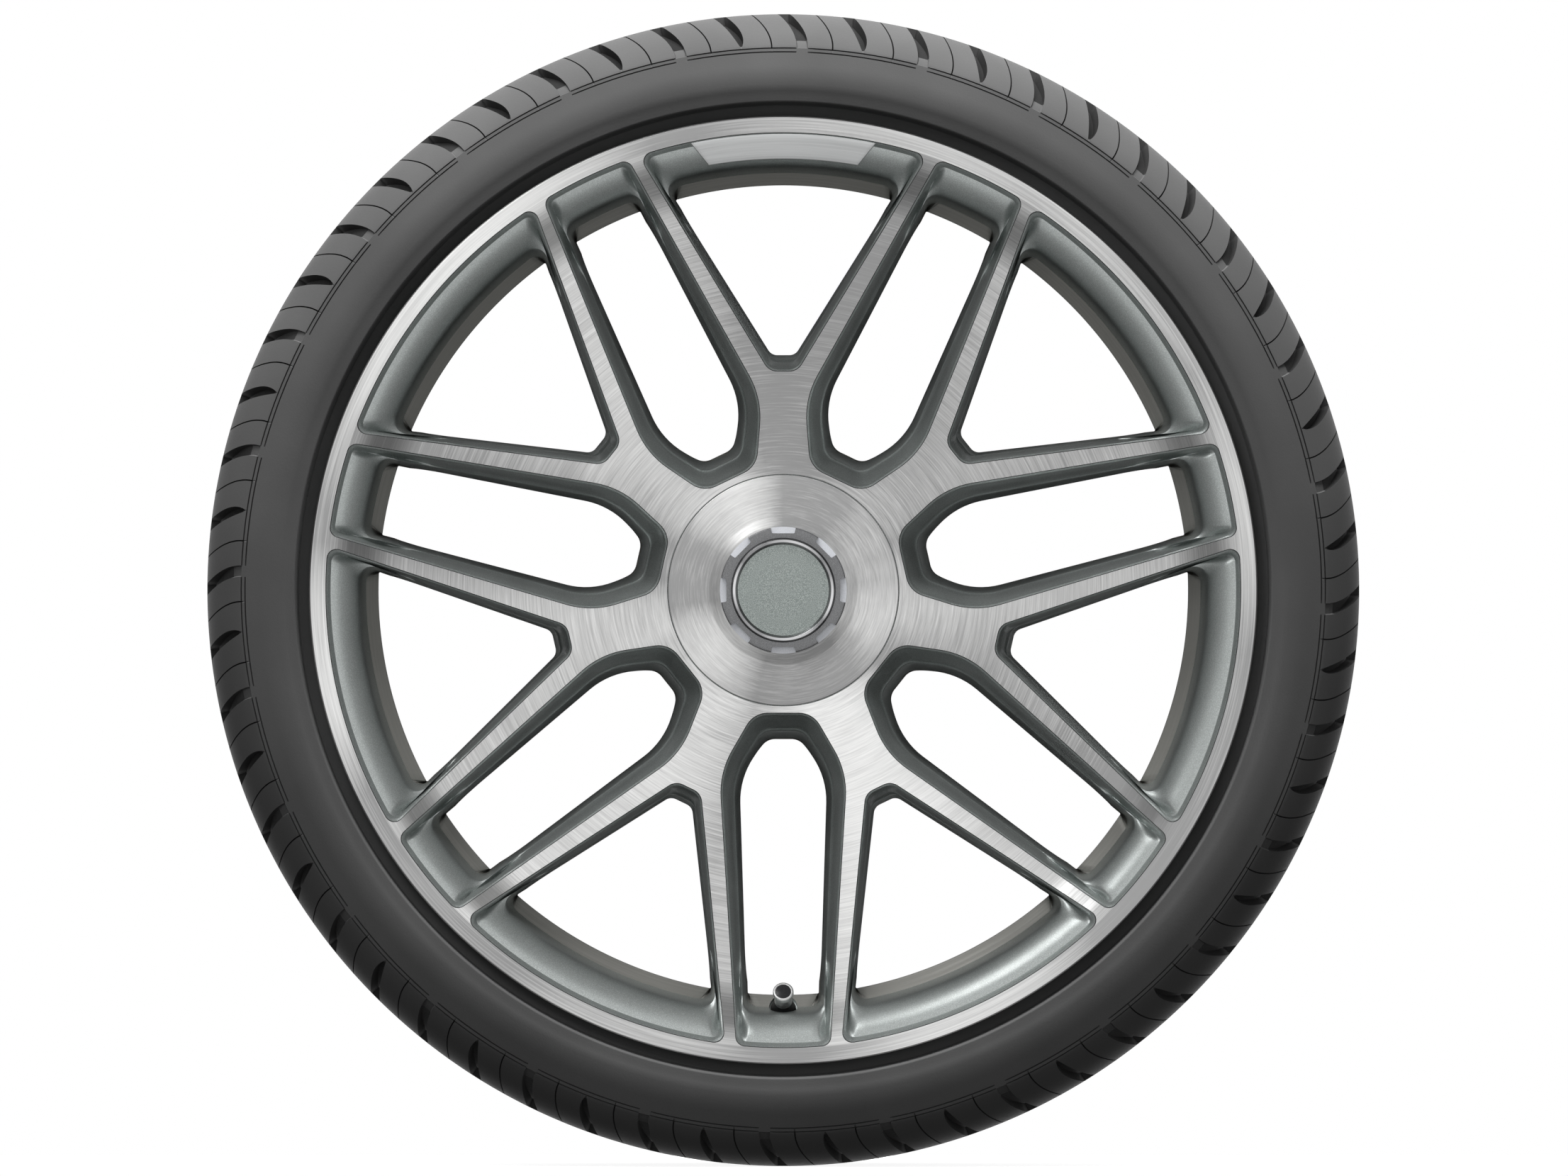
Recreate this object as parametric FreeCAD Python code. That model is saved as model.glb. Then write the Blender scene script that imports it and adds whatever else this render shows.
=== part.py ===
import FreeCAD, Part
import math
import os

# Forged road wheel with its tyre, valve, pressure sensor and hub cap. Millimetres.
# The wheel turns about Y, its outboard face looks along -Y, +Z is up, and the origin is
# the middle of the rim's width on the axis. Profiles are written as (radius, y) pairs.

# Shared
FIT_GAP = 0.1
CUT_OVER = 1.0

# Rim
RIM_WIDTH = 241.3
BEAD_SEAT_R = 269.1
SEAT_TAPER_DEG = 5.0
SEAT_WIDTH = 19.5
HUMP_HEIGHT = 1.2
HUMP_WIDTH = 3.0
FLANGE_HEIGHT = 17.7
FLANGE_THICKNESS = 7.0
FLANGE_EDGE = 2.5
HEEL_CHAMFER = 3.8
BARREL_WALL = 4.5
WELL_DEPTH = 19.1
WELL_START = 46.5
WELL_LENGTH = 28.0
WELL_RAMP = 32.0

# Front face of the rim
LIP_REACH = 12.4
LIP_WIDTH = 9.8
LIP_STEP = 2.8
LIP_CROWN = 0.4
LIP_SLOPE_WIDTH = 16.8
LIP_SLOPE_DROP = 14.5
WINDOW_WALL_DROP = 18.5
WINDOW_WALL_STEP = 3.9
WINDOW_RAMP_DROP = 10.0
BEND_START = 32.0
BEND_END = 9.0
BEND_DROP = 1.0
BEND_ROUND_FOOT = 40.0
BEND_ROUND_HEAD = 25.0
SPOKE_SWEEP = 16.0

# Hub
WHEEL_OFFSET = 35.0
HUB_THICKNESS = 65.0
HUB_FLAT_R = 75.0
PAD_R = 78.0
PAD_CHAMFER = 4.0
HUB_BACK_R = 98.0
SPOKE_DEPTH_HUB = 38.0
SPOKE_DEPTH_RIM = 37.0
SPOKE_ROOT = 10.0
HUB_PART_R = 96.0
BARREL_PART_MARGIN = 1.5
LIP_PART_Y = -25.0
CENTRE_BORE_R = 33.3
CENTRE_BORE_LENGTH = 27.0
BORE_CHAMFER = 1.5
CAP_BORE_R = 36.0
COVER_SEAT_DEPTH = 6.0
BOLT_COUNT = 5
BOLT_CIRCLE_R = 56.0
BOLT_HOLE_R = 7.5
BOLT_POCKET_R = 13.0
BOLT_BALL_R = 14.0
BOLT_GRIP = 10.0

# Windows: seven between neighbouring arms, seven between the two arms of a spoke
SPOKES = 7
RIDGE_DEPTH = 16.0
RIDGE_SHARE = 0.7
CORNER_TIGHTENING = 0.4
LEAST_CORNER = 2.0
LIP_CORNER = 6.0
SLOT_FLOOR_R = 74.2
SLOT_FLOOR_HALF = 17.9
SLOT_FLOOR_CORNER = 15.0
SLOT_FLANK_FLOOR = 15.2
SLOT_SHOULDER_R = 117.0
SLOT_SHOULDER_HALF = 38.9
SLOT_SHOULDER_CORNER = 52.0
SLOT_FLANK_SHOULDER = 12.4
SLOT_LIP_HALF = 28.7
SLOT_FLANK_LIP = 7.2
FORK_FLOOR_R = 132.3
FORK_FLOOR_HALF = 8.6
FORK_FLOOR_CORNER = 9.0
FORK_FLANK_FLOOR = 10.3
FORK_FLANK_SIDE = 6.7
FORK_LIP_HALF = 87.7
FORK_FLANK_LIP = 4.4

# Tyre
SIDEWALL_HEIGHT = 62.4
GUARD_FOOT_HEIGHT = 4.4
GUARD_FOOT_STEP = 3.0
GUARD_HEIGHT = 10.0
GUARD_REACH = 17.85
WAIST_HEIGHT = 16.8
WAIST_STEP = 2.2
BULGE_HEIGHT = 31.2
SIDEWALL_REACH = 17.0
SHOULDER_REACH = 14.2
SHOULDER_DROP = 22.2
SHOULDER_KNEE = 0.62
SHOULDER_STEPS = 4
CROWN_HALF = 94.0
CROWN_DROP = 1.0
TREAD_THICKNESS = 14.5
SIDEWALL_THICKNESS = 11.0
LINER_HEIGHT = 12.5
LINER_STEP = 2.5
BEAD_INSET = 2.0
BEAD_SHOULDER = 1.0
BEAD_TOE = 4.0
GROOVE_DEPTH = 7.0
GROOVE_WIDTH = 10.0
GROOVE_PITCH = 48.0
GROOVE_DRAFT = 1.5
SHOULDER_GROOVES = 56
SHOULDER_GROOVE_WIDTH = 5.6
SHOULDER_GROOVE_DEPTH = 5.5
SHOULDER_GROOVE_LEAN_DEG = 2.3
SHOULDER_GROOVE_START = 0.06
SHOULDER_GROOVE_BEND = 0.45
OPEN_GROOVE_END = 1.07
OPEN_GROOVE_END_DEPTH = 2.75
BLIND_GROOVE_END = 0.96
BLIND_GROOVE_END_WIDTH = 0.6
BLIND_GROOVE_END_DEPTH = 1.6
BEAD_CLEARANCE = 0.3

# Valve: measured along its own axis from the seat face, which is square to that axis
VALVE_LEAN_DEG = 29.0
VALVE_SEAT_R = 254.7
VALVE_SEAT_SETBACK = 22.5
VALVE_WALL = 4.0
VALVE_HOLE_R = 5.75
VALVE_COLLAR_R = 7.75
VALVE_COLLAR_LENGTH = 2.2
VALVE_NECK_R = 5.0
VALVE_NECK_LENGTH = 11.6
VALVE_BULB_R = 8.6
VALVE_BULB_LENGTH = 7.0
VALVE_POCKET_MARGIN = 0.9
STEM_R = 3.6
STEM_THREAD_R = 3.85
STEM_THREAD_LENGTH = 10.1
STEM_TAIL = 2.0
STEM_BORE_R = 1.6
CORE_R = 2.5
CORE_LENGTH = 11.0
CORE_TOP_GAP = 0.3
CORE_SPRING_R = 1.95
PIN_R = 0.7
PIN_HEAD_R = 1.6
PIN_HEAD_LENGTH = 0.8
PIN_RECESS = 0.6
PIN_TRAVEL = 1.0
PIN_GAP = 0.3
SPRING_R = 1.35
SPRING_WIRE = 0.28
SPRING_TURNS = 4
SPRING_LENGTH = 4.0
SEAL_R = 2.1
SEAL_LENGTH = 1.2
CAP_R = 6.25
CAP_SKIRT_R = 5.35
CAP_HEAD_LENGTH = 3.4
CAP_TOP = 1.9
CAP_EDGE = 0.7
CAP_THREAD_GAP = 0.3
CAP_SKIRT_GAP = 0.4
CAP_SEAL_GAP = 0.3
CAP_SEAL_THICKNESS = 0.7
CAP_SEAL_BORE_R = 1.8
INLAY_R = 4.6
INLAY_DEPTH = 0.6

# Pressure sensor on the valve's inner end
SENSOR_LENGTH = 25.0
SENSOR_HALF_WIDTH = 23.0
SENSOR_HEIGHT = 14.0
SENSOR_CORNER = 5.0
SENSOR_BOSS_R = 6.5
SENSOR_BOSS_LENGTH = 11.0
SENSOR_TAB = 4.0
SENSOR_FLOOR_GAP = 0.3
SENSOR_WELL_GAP = 2.0
SENSOR_LID_THICKNESS = 1.6
SENSOR_LID_MARGIN = 2.0
SCREW_R = 1.4
SCREW_HEAD_R = 3.0
SCREW_HEAD_LENGTH = 2.2
SCREW_GAP = 0.2
SCREW_HOLD = 5.0
SCREW_DRILLING_R = 0.6
SCREW_ACCESS_R = 4.0

# Hub cap
COVER_R = 70.0
COVER_GAP = 0.4
COVER_WALL = 2.4
COVER_SKIRT = 4.0
COVER_FLOOR_GAP = 0.3
CONE_R = 45.0
CONE_RISE = 3.0
LOCK_RING_R = 38.4
LOCK_RING_HEIGHT = 10.0
LOCK_RING_EDGE = 1.0
NOTCHES = 8
NOTCH_HALF_DEG = 11.3
NOTCH_LENGTH = 3.6
NOTCH_FACE_R = 34.4
BEZEL_R = 31.3
BEZEL_WIDTH = 3.6
BEZEL_HEIGHT = 3.6
BEZEL_PROUD = 1.4
BEZEL_EDGE = 1.0
BADGE_THICKNESS = 2.0
BADGE_CROWN = 0.6
CARRIER_FLANGE = 1.1
STUB_GAP = 0.4
CARRIER_WALL = 2.0
FINGER_REACH = 26.0
FINGER_COUNT = 6
FINGER_SLOT = 7.0
FINGER_GAP = 0.5
SPRING_RING_WIRE_R = 0.9
SPRING_RING_SETBACK = 5.0
WIRE_SIDES = 6

# Worked out from the sizes above
ORIGIN = FreeCAD.Vector(0, 0, 0)
AXLE = FreeCAD.Vector(0, 1, 0)
FULL_TURN = 360.0
PITCH_DEG = FULL_TURN / SPOKES
HALF_WIDTH = RIM_WIDTH / 2
FLANGE_R = BEAD_SEAT_R + FLANGE_HEIGHT
TYRE_R = FLANGE_R + SIDEWALL_HEIGHT
LIP_Y = -(HALF_WIDTH + LIP_REACH)
LIP_INNER_R = FLANGE_R - LIP_WIDTH
BEND_FOOT_R = LIP_INNER_R - BEND_START
BEND_HEAD_R = LIP_INNER_R - BEND_END
PAD_Y = -WHEEL_OFFSET
HUB_Y = PAD_Y - HUB_THICKNESS
BEND_FOOT_Y = HUB_Y - SPOKE_SWEEP
BEND_HEAD_Y = LIP_Y + LIP_CROWN + BEND_DROP
WELL_OUTER_R = BEAD_SEAT_R - WELL_DEPTH
WELL_INNER_R = WELL_OUTER_R - BARREL_WALL
SEAT_END_R = BEAD_SEAT_R - SEAT_WIDTH * math.tan(math.radians(SEAT_TAPER_DEG))
HUMP_R = SEAT_END_R + HUMP_HEIGHT
BARREL_INNER_R = SEAT_END_R - BARREL_WALL
COVER_FLOOR_Y = HUB_Y + COVER_SEAT_DEPTH
VALVE_SEAT_Y = LIP_Y + LIP_STEP + LIP_SLOPE_DROP + VALVE_SEAT_SETBACK
STEM_TOP = VALVE_NECK_LENGTH + STEM_THREAD_LENGTH
STEM_END = -VALVE_WALL - VALVE_BULB_LENGTH - STEM_TAIL
CORE_TOP = STEM_TOP - CORE_TOP_GAP
CORE_END = CORE_TOP - CORE_LENGTH
PIN_TOP = STEM_TOP - PIN_RECESS
SPRING_SEAT = PIN_TOP - PIN_HEAD_LENGTH - SPRING_LENGTH
CAP_START = VALVE_NECK_LENGTH + CAP_SKIRT_GAP
CAP_CEILING = STEM_TOP + CAP_SEAL_GAP + CAP_SEAL_THICKNESS
CAP_FRONT = CAP_CEILING + CAP_TOP
SCREW_SEAT = STEM_END - SENSOR_TAB
CONE_TOP_R = LOCK_RING_R + CARRIER_FLANGE + FIT_GAP
CONE_TOP_Y = HUB_Y - CONE_RISE
LOCK_RING_Y = CONE_TOP_Y - LOCK_RING_HEIGHT
BEZEL_BACK_Y = LOCK_RING_Y - BEZEL_PROUD + BEZEL_HEIGHT
STUB_R = BEZEL_R - STUB_GAP
BADGE_R = BEZEL_R - BEZEL_WIDTH - FIT_GAP
FLANGE_TOP_Y = CONE_TOP_Y + COVER_WALL
FLANGE_BACK_Y = FLANGE_TOP_Y + CARRIER_WALL
FINGER_END_Y = FLANGE_BACK_Y + FINGER_REACH
FINGER_R = CAP_BORE_R - FINGER_GAP


def vector(x, y, z=0.0):
    return FreeCAD.Vector(x, y, z)


def unit(u, v):
    size = math.hypot(u, v)
    return u / size, v / size


def corner_arc(before, corner, after, radius):
    """Tangent points and middle of the arc that rounds one corner of an outline."""
    du, dv = unit(corner[0] - before[0], corner[1] - before[1])
    eu, ev = unit(after[0] - corner[0], after[1] - corner[1])
    half_turn = math.acos(max(-1.0, min(1.0, du * eu + dv * ev))) / 2
    reach = radius * math.tan(half_turn)
    bu, bv = unit(eu - du, ev - dv)
    sag = radius / math.cos(half_turn) - radius
    start = (corner[0] - du * reach, corner[1] - dv * reach)
    middle = (corner[0] + bu * sag, corner[1] + bv * sag)
    end = (corner[0] + eu * reach, corner[1] + ev * reach)
    return start, middle, end


def closed_wire(corners, place):
    """Closed outline through (u, v, rounding) corners; place turns (u, v) into a point."""
    stations = []
    for index, corner in enumerate(corners):
        before = corners[index - 1]
        after = corners[(index + 1) % len(corners)]
        if corner[2] > 0:
            stations.append(corner_arc(before, corner, after, corner[2]))
        else:
            stations.append((corner[:2],))
    edges = []
    for index, station in enumerate(stations):
        if len(station) == 3:
            edges.append(Part.Arc(*[place(*point) for point in station]).toShape())
        following = stations[(index + 1) % len(stations)][0]
        edges.append(Part.LineSegment(place(*station[-1]), place(*following)).toShape())
    return Part.Wire(edges)


def turned(corners):
    """Solid of revolution about the axle from (radius, y, rounding) corners."""
    face = Part.Face(closed_wire(corners, vector))
    return face.revolve(ORIGIN, AXLE, FULL_TURN)


def spindle(corners):
    """Solid of revolution about local +Z from (radius, height, rounding) corners."""
    face = Part.Face(closed_wire(corners, lambda r, h: vector(r, 0, h)))
    return face.revolve(ORIGIN, vector(0, 0, 1), FULL_TURN)


def around(shape, angle_deg):
    """Copy of a shape turned about the axle, clockwise as seen from the outboard side."""
    copy = shape.copy()
    copy.rotate(ORIGIN, AXLE, angle_deg)
    return copy


def seat_line_r(y):
    """Radius of the tapered bead seat at a distance from the middle of the rim."""
    return BEAD_SEAT_R - (HALF_WIDTH - abs(y)) * math.tan(math.radians(SEAT_TAPER_DEG))


def face_y(radius):
    """Height of the machined front face at a radius."""
    stations = [
        (HUB_FLAT_R, HUB_Y),
        (BEND_FOOT_R, BEND_FOOT_Y),
        (BEND_HEAD_R, BEND_HEAD_Y),
        (LIP_INNER_R, LIP_Y + LIP_CROWN),
    ]
    if radius <= stations[0][0]:
        return HUB_Y
    for (r0, y0), (r1, y1) in zip(stations, stations[1:]):
        if radius <= r1:
            return y0 + (y1 - y0) * (radius - r0) / (r1 - r0)
    return stations[-1][1]


def spoke_depth(radius):
    """Thickness of the spoke from its front face to its back at a radius."""
    share = (radius - HUB_BACK_R) / (WELL_INNER_R - HUB_BACK_R)
    return SPOKE_DEPTH_HUB + (SPOKE_DEPTH_RIM - SPOKE_DEPTH_HUB) * share


# Rim


def rim_blank():
    """Forging as turned: hub, spoke disc, lip and barrel in one section."""
    seat_end = HALF_WIDTH - SEAT_WIDTH
    hump = seat_end - HUMP_WIDTH
    well_end = -WELL_START - WELL_LENGTH
    flange_back = HALF_WIDTH + FLANGE_THICKNESS
    return turned([
        (CENTRE_BORE_R, PAD_Y - BORE_CHAMFER, 0),
        (CENTRE_BORE_R + BORE_CHAMFER, PAD_Y, 0),
        (PAD_R - PAD_CHAMFER, PAD_Y, 0),
        (PAD_R, PAD_Y - PAD_CHAMFER, 0),
        (HUB_BACK_R, face_y(HUB_BACK_R) + spoke_depth(HUB_BACK_R), 0),
        (WELL_INNER_R - SPOKE_ROOT, BEND_FOOT_Y + SPOKE_DEPTH_RIM, 0),
        (WELL_INNER_R, BEND_FOOT_Y + SPOKE_DEPTH_RIM + SPOKE_ROOT, 0),
        (WELL_INNER_R, -WELL_START, 0),
        (BARREL_INNER_R, -WELL_START + WELL_RAMP, 0),
        (BARREL_INNER_R, HALF_WIDTH - SEAT_WIDTH / 2, 0),
        (FLANGE_R - FLANGE_THICKNESS, flange_back, 0),
        (FLANGE_R - FLANGE_EDGE, flange_back, 0),
        (FLANGE_R, flange_back - FLANGE_EDGE, 0),
        (FLANGE_R, HALF_WIDTH + FLANGE_EDGE, 0),
        (FLANGE_R - FLANGE_THICKNESS, HALF_WIDTH, 0),
        (BEAD_SEAT_R + HEEL_CHAMFER, HALF_WIDTH, 0),
        (seat_line_r(HALF_WIDTH - HEEL_CHAMFER), HALF_WIDTH - HEEL_CHAMFER, 0),
        (SEAT_END_R, seat_end, 0),
        (HUMP_R, hump, 0),
        (SEAT_END_R, hump - HUMP_WIDTH, 0),
        (SEAT_END_R, -WELL_START + WELL_RAMP, 0),
        (WELL_OUTER_R, -WELL_START, 0),
        (WELL_OUTER_R, well_end, 0),
        (HUMP_R, -hump, 0),
        (SEAT_END_R, -seat_end, 0),
        (seat_line_r(HALF_WIDTH - HEEL_CHAMFER), HEEL_CHAMFER - HALF_WIDTH, 0),
        (BEAD_SEAT_R + HEEL_CHAMFER, -HALF_WIDTH, 0),
        (FLANGE_R - FLANGE_THICKNESS, -HALF_WIDTH, 0),
        (FLANGE_R, -HALF_WIDTH - FLANGE_EDGE, 0),
        (FLANGE_R, LIP_Y + FLANGE_EDGE, 0),
        (FLANGE_R - FLANGE_EDGE, LIP_Y, 0),
        (LIP_INNER_R, LIP_Y + LIP_CROWN, 0),
        (BEND_HEAD_R, BEND_HEAD_Y, BEND_ROUND_HEAD),
        (BEND_FOOT_R, BEND_FOOT_Y, BEND_ROUND_FOOT),
        (HUB_FLAT_R, HUB_Y, 0),
        (COVER_R + COVER_GAP, HUB_Y, 0),
        (COVER_R + COVER_GAP, COVER_FLOOR_Y, 0),
        (CAP_BORE_R, COVER_FLOOR_Y, 0),
        (CAP_BORE_R, PAD_Y - CENTRE_BORE_LENGTH, 0),
        (CENTRE_BORE_R, PAD_Y - CENTRE_BORE_LENGTH, 0),
    ])


def window_bound():
    """Everything inside the lip's slope, which ends each window at the rim."""
    over = CUT_OVER
    slope_r = LIP_INNER_R - LIP_STEP
    ridge_r = slope_r - LIP_SLOPE_WIDTH
    slope_y = LIP_Y + LIP_STEP
    ridge_y = slope_y + LIP_SLOPE_DROP
    wall_r = ridge_r - WINDOW_WALL_STEP
    wall_y = ridge_y + WINDOW_WALL_DROP
    return turned([
        (0, LIP_Y - over, 0),
        (LIP_INNER_R + over, LIP_Y - over, 0),
        (slope_r, slope_y, 0),
        (ridge_r, ridge_y, 0),
        (wall_r, wall_y, 0),
        (WELL_INNER_R, wall_y + WINDOW_RAMP_DROP, 0),
        (WELL_INNER_R, -WELL_START, 0),
        (0, -WELL_START, 0),
    ])


class WindowSide:
    """One straight side of half a window: its two ends on the machined face and its flank widths."""

    def __init__(self, start, end, flank_start, flank_end, corner):
        self.start = start
        self.end = end
        self.flank_start = flank_start
        self.flank_end = flank_end
        self.corner = corner

    def line_at(self, y, upper):
        """Two points of this side's line in the plane at y, on the upper flank or the lower wall."""
        du, dv = unit(self.end[0] - self.start[0], self.end[1] - self.start[1])
        points = []
        for (u, v), flank in ((self.start, self.flank_start), (self.end, self.flank_end)):
            inset = flank_inset(math.hypot(u, v), flank, y, upper)
            points.append((u - dv * inset, v + du * inset))
        return points


def flank_inset(radius, flank, y, upper):
    """How far a window's wall stands inside its machined edge in the plane at y."""
    depth = y - face_y(radius)
    ridge = flank * RIDGE_SHARE
    if upper:
        return ridge * depth / RIDGE_DEPTH
    return ridge + (flank - ridge) * (depth - RIDGE_DEPTH) / (spoke_depth(radius) - RIDGE_DEPTH)


def crossing(line_a, line_b):
    """Point where two lines, each given by two points, cross."""
    (x1, y1), (x2, y2) = line_a
    (x3, y3), (x4, y4) = line_b
    cross = (x1 - x2) * (y3 - y4) - (y1 - y2) * (x3 - x4)
    a = x1 * y2 - y1 * x2
    b = x3 * y4 - y3 * x4
    return (a * (x3 - x4) - (x1 - x2) * b) / cross, (a * (y3 - y4) - (y1 - y2) * b) / cross


def lip_corner(line, rim_r, radius):
    """Arc that rounds a side into the lip: tangent to the side and to the circle of rim_r."""
    (au, av), (bu, bv) = line
    du, dv = unit(bu - au, bv - av)
    cu, cv = au - dv * radius, av + du * radius
    along = cu * du + cv * dv
    across = cu * cu + cv * cv - (rim_r - radius) ** 2
    reach = -along + math.sqrt(along * along - across)
    cu, cv = cu + du * reach, cv + dv * reach
    start = (au + du * reach, av + dv * reach)
    size = math.hypot(cu, cv)
    end = (cu * rim_r / size, cv * rim_r / size)
    mu, mv = unit(start[0] + end[0] - 2 * cu, start[1] + end[1] - 2 * cv)
    return start, (cu + mu * radius, cv + mv * radius), end


def window_wire(floor_r, floor_flank, sides, y, upper):
    """Outline of a window in the plane at y, with the same edges at every height."""
    floor = floor_r + flank_inset(floor_r, floor_flank, y, upper)
    lines = [[(-1.0, floor), (1.0, floor)]] + [side.line_at(y, upper) for side in sides]
    corners = [crossing(a, b) for a, b in zip(lines, lines[1:])]
    lip_inset = flank_inset(LIP_INNER_R, sides[-1].flank_end, y, upper) if upper else 0.0
    rim_r = LIP_INNER_R - lip_inset
    stations = []
    chain = [(0.0, floor)] + corners + [lines[-1][1]]
    for index, side in enumerate(sides):
        inset = flank_inset(math.hypot(*side.start), side.flank_start, y, upper)
        radius = max(LEAST_CORNER, side.corner - CORNER_TIGHTENING * inset)
        if side.corner > 0:
            stations.append(corner_arc(chain[index], corners[index], chain[index + 2], radius))
        else:
            stations.append((corners[index],))
    stations.append(lip_corner([corners[-1], lines[-1][1]], rim_r, LIP_CORNER))
    right = [[vector(u, y, v) for u, v in station] for station in stations]
    left = [[vector(-p.x, y, p.z) for p in reversed(station)] for station in reversed(right)]
    loop = right + left
    edges = []
    for index, station in enumerate(loop):
        if len(station) == 3:
            edges.append(Part.Arc(*station).toShape())
        following = loop[(index + 1) % len(loop)][0]
        if index == len(right) - 1:
            edges.append(Part.Arc(station[-1], vector(0, y, rim_r), following).toShape())
        else:
            edges.append(Part.LineSegment(station[-1], following).toShape())
    return Part.Wire(edges)


def window_tool(floor_r, floor_flank, sides, bound):
    """Cutter for one window at the top of the wheel: a flared upper flank and a steep lower wall."""
    front_y = LIP_Y - LIP_STEP
    flank_end_y = HUB_Y + RIDGE_DEPTH + LIP_STEP
    back_y = -WELL_START + CUT_OVER
    upper = [window_wire(floor_r, floor_flank, sides, y, True) for y in (front_y, flank_end_y)]
    lower = [window_wire(floor_r, floor_flank, sides, y, False) for y in (front_y, back_y)]
    flare = Part.makeLoft(upper, True, True)
    wall = Part.makeLoft(lower, True, True)
    return flare.fuse(wall).common(bound)


def side_point(start, end, radius):
    """Point at a radius on the straight side from start to end."""
    du, dv = unit(end[0] - start[0], end[1] - start[1])
    along = start[0] * du + start[1] * dv
    across = start[0] ** 2 + start[1] ** 2 - radius ** 2
    reach = -along + math.sqrt(along * along - across)
    return start[0] + du * reach, start[1] + dv * reach


def side_run(start, end, flank_start, flank_end, corner):
    """A side from its first corner to the lip, bent where the front face bends."""
    radii = (BEND_FOOT_R, BEND_HEAD_R, LIP_INNER_R)
    stops = [start] + [side_point(start, end, radius) for radius in radii]
    span = math.dist(start, end)
    flanks = []
    for stop in stops:
        share = math.dist(start, stop) / span
        flanks.append(flank_start + (flank_end - flank_start) * share)
    sides = []
    for index in range(len(radii)):
        rounding = corner if index == 0 else 0
        sides.append(WindowSide(stops[index], stops[index + 1], flanks[index], flanks[index + 1], rounding))
    return sides


def lip_point(half):
    return half, math.sqrt(LIP_INNER_R ** 2 - half ** 2)


def slot_tool(bound):
    """Window between neighbouring spokes: narrow, with a tapered inner end."""
    floor = (SLOT_FLOOR_HALF, SLOT_FLOOR_R)
    shoulder = (SLOT_SHOULDER_HALF, math.sqrt(SLOT_SHOULDER_R ** 2 - SLOT_SHOULDER_HALF ** 2))
    taper = WindowSide(floor, shoulder, SLOT_FLANK_FLOOR, SLOT_FLANK_SHOULDER, SLOT_FLOOR_CORNER)
    lip = lip_point(SLOT_LIP_HALF)
    side = side_run(shoulder, lip, SLOT_FLANK_SHOULDER, SLOT_FLANK_LIP, SLOT_SHOULDER_CORNER)
    return window_tool(SLOT_FLOOR_R, SLOT_FLANK_FLOOR, [taper] + side, bound)


def fork_tool(bound):
    """Window between the two arms of one spoke: a wide fan."""
    floor = (FORK_FLOOR_HALF, FORK_FLOOR_R)
    side = side_run(floor, lip_point(FORK_LIP_HALF), FORK_FLANK_SIDE, FORK_FLANK_LIP, FORK_FLOOR_CORNER)
    return window_tool(FORK_FLOOR_R, FORK_FLANK_FLOOR, side, bound)


def bolt_cutter():
    """Bolt hole with its ball seat and the pocket in front of it, at the top of the bolt circle."""
    over = CUT_OVER
    seat_y = PAD_Y - BOLT_GRIP
    centre_y = seat_y - math.sqrt(BOLT_BALL_R ** 2 - BOLT_HOLE_R ** 2)
    pocket_y = centre_y + math.sqrt(BOLT_BALL_R ** 2 - BOLT_POCKET_R ** 2)
    middle_r = (BOLT_HOLE_R + BOLT_POCKET_R) / 2
    middle_y = centre_y + math.sqrt(BOLT_BALL_R ** 2 - middle_r ** 2)
    front_y = COVER_FLOOR_Y - over
    points = [(0, front_y), (BOLT_POCKET_R, front_y), (BOLT_POCKET_R, pocket_y)]
    end = [(BOLT_HOLE_R, seat_y), (BOLT_HOLE_R, PAD_Y + over), (0, PAD_Y + over), (0, front_y)]
    edges = [Part.LineSegment(vector(*a), vector(*b)).toShape() for a, b in zip(points, points[1:])]
    seat = Part.Arc(vector(*points[-1]), vector(middle_r, middle_y), vector(*end[0]))
    edges.append(seat.toShape())
    edges += [Part.LineSegment(vector(*a), vector(*b)).toShape() for a, b in zip(end, end[1:])]
    cutter = Part.Face(Part.Wire(edges)).revolve(ORIGIN, AXLE, FULL_TURN)
    cutter.translate(vector(0, 0, BOLT_CIRCLE_R))
    return cutter


def forged_rim():
    bound = window_bound()
    slot = slot_tool(bound)
    fork = fork_tool(bound)
    cutters = []
    for index in range(SPOKES):
        cutters.append(around(fork, index * PITCH_DEG))
        cutters.append(around(slot, (index + 0.5) * PITCH_DEG))
    bolt = bolt_cutter()
    cutters += [around(bolt, index * FULL_TURN / BOLT_COUNT) for index in range(BOLT_COUNT)]
    pocket_r = VALVE_COLLAR_R + VALVE_POCKET_MARGIN
    deep = CAP_FRONT
    bulb_r = VALVE_BULB_R + VALVE_POCKET_MARGIN
    cutters.append(on_valve(Part.makeCylinder(VALVE_HOLE_R, deep, vector(0, 0, -deep / 2))))
    cutters.append(on_valve(Part.makeCylinder(pocket_r, deep)))
    cutters.append(on_valve(Part.makeCylinder(bulb_r, deep, vector(0, 0, -deep - VALVE_WALL))))
    return rim_blank().cut(cutters)


def lip_wedge(number):
    """Space about the axle from one forked window to the next, in front of the plane that parts the lip."""
    corners = [vector(0, -RIM_WIDTH, 0)]
    for turn_deg in (number * PITCH_DEG, (number + 1) * PITCH_DEG):
        turn = math.radians(turn_deg)
        corners.append(vector(2 * FLANGE_R * math.sin(turn), -RIM_WIDTH, 2 * FLANGE_R * math.cos(turn)))
    outline = Part.Face(Part.makePolygon(corners + corners[:1]))
    return outline.extrude(vector(0, LIP_PART_Y + RIM_WIDTH, 0))


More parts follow.
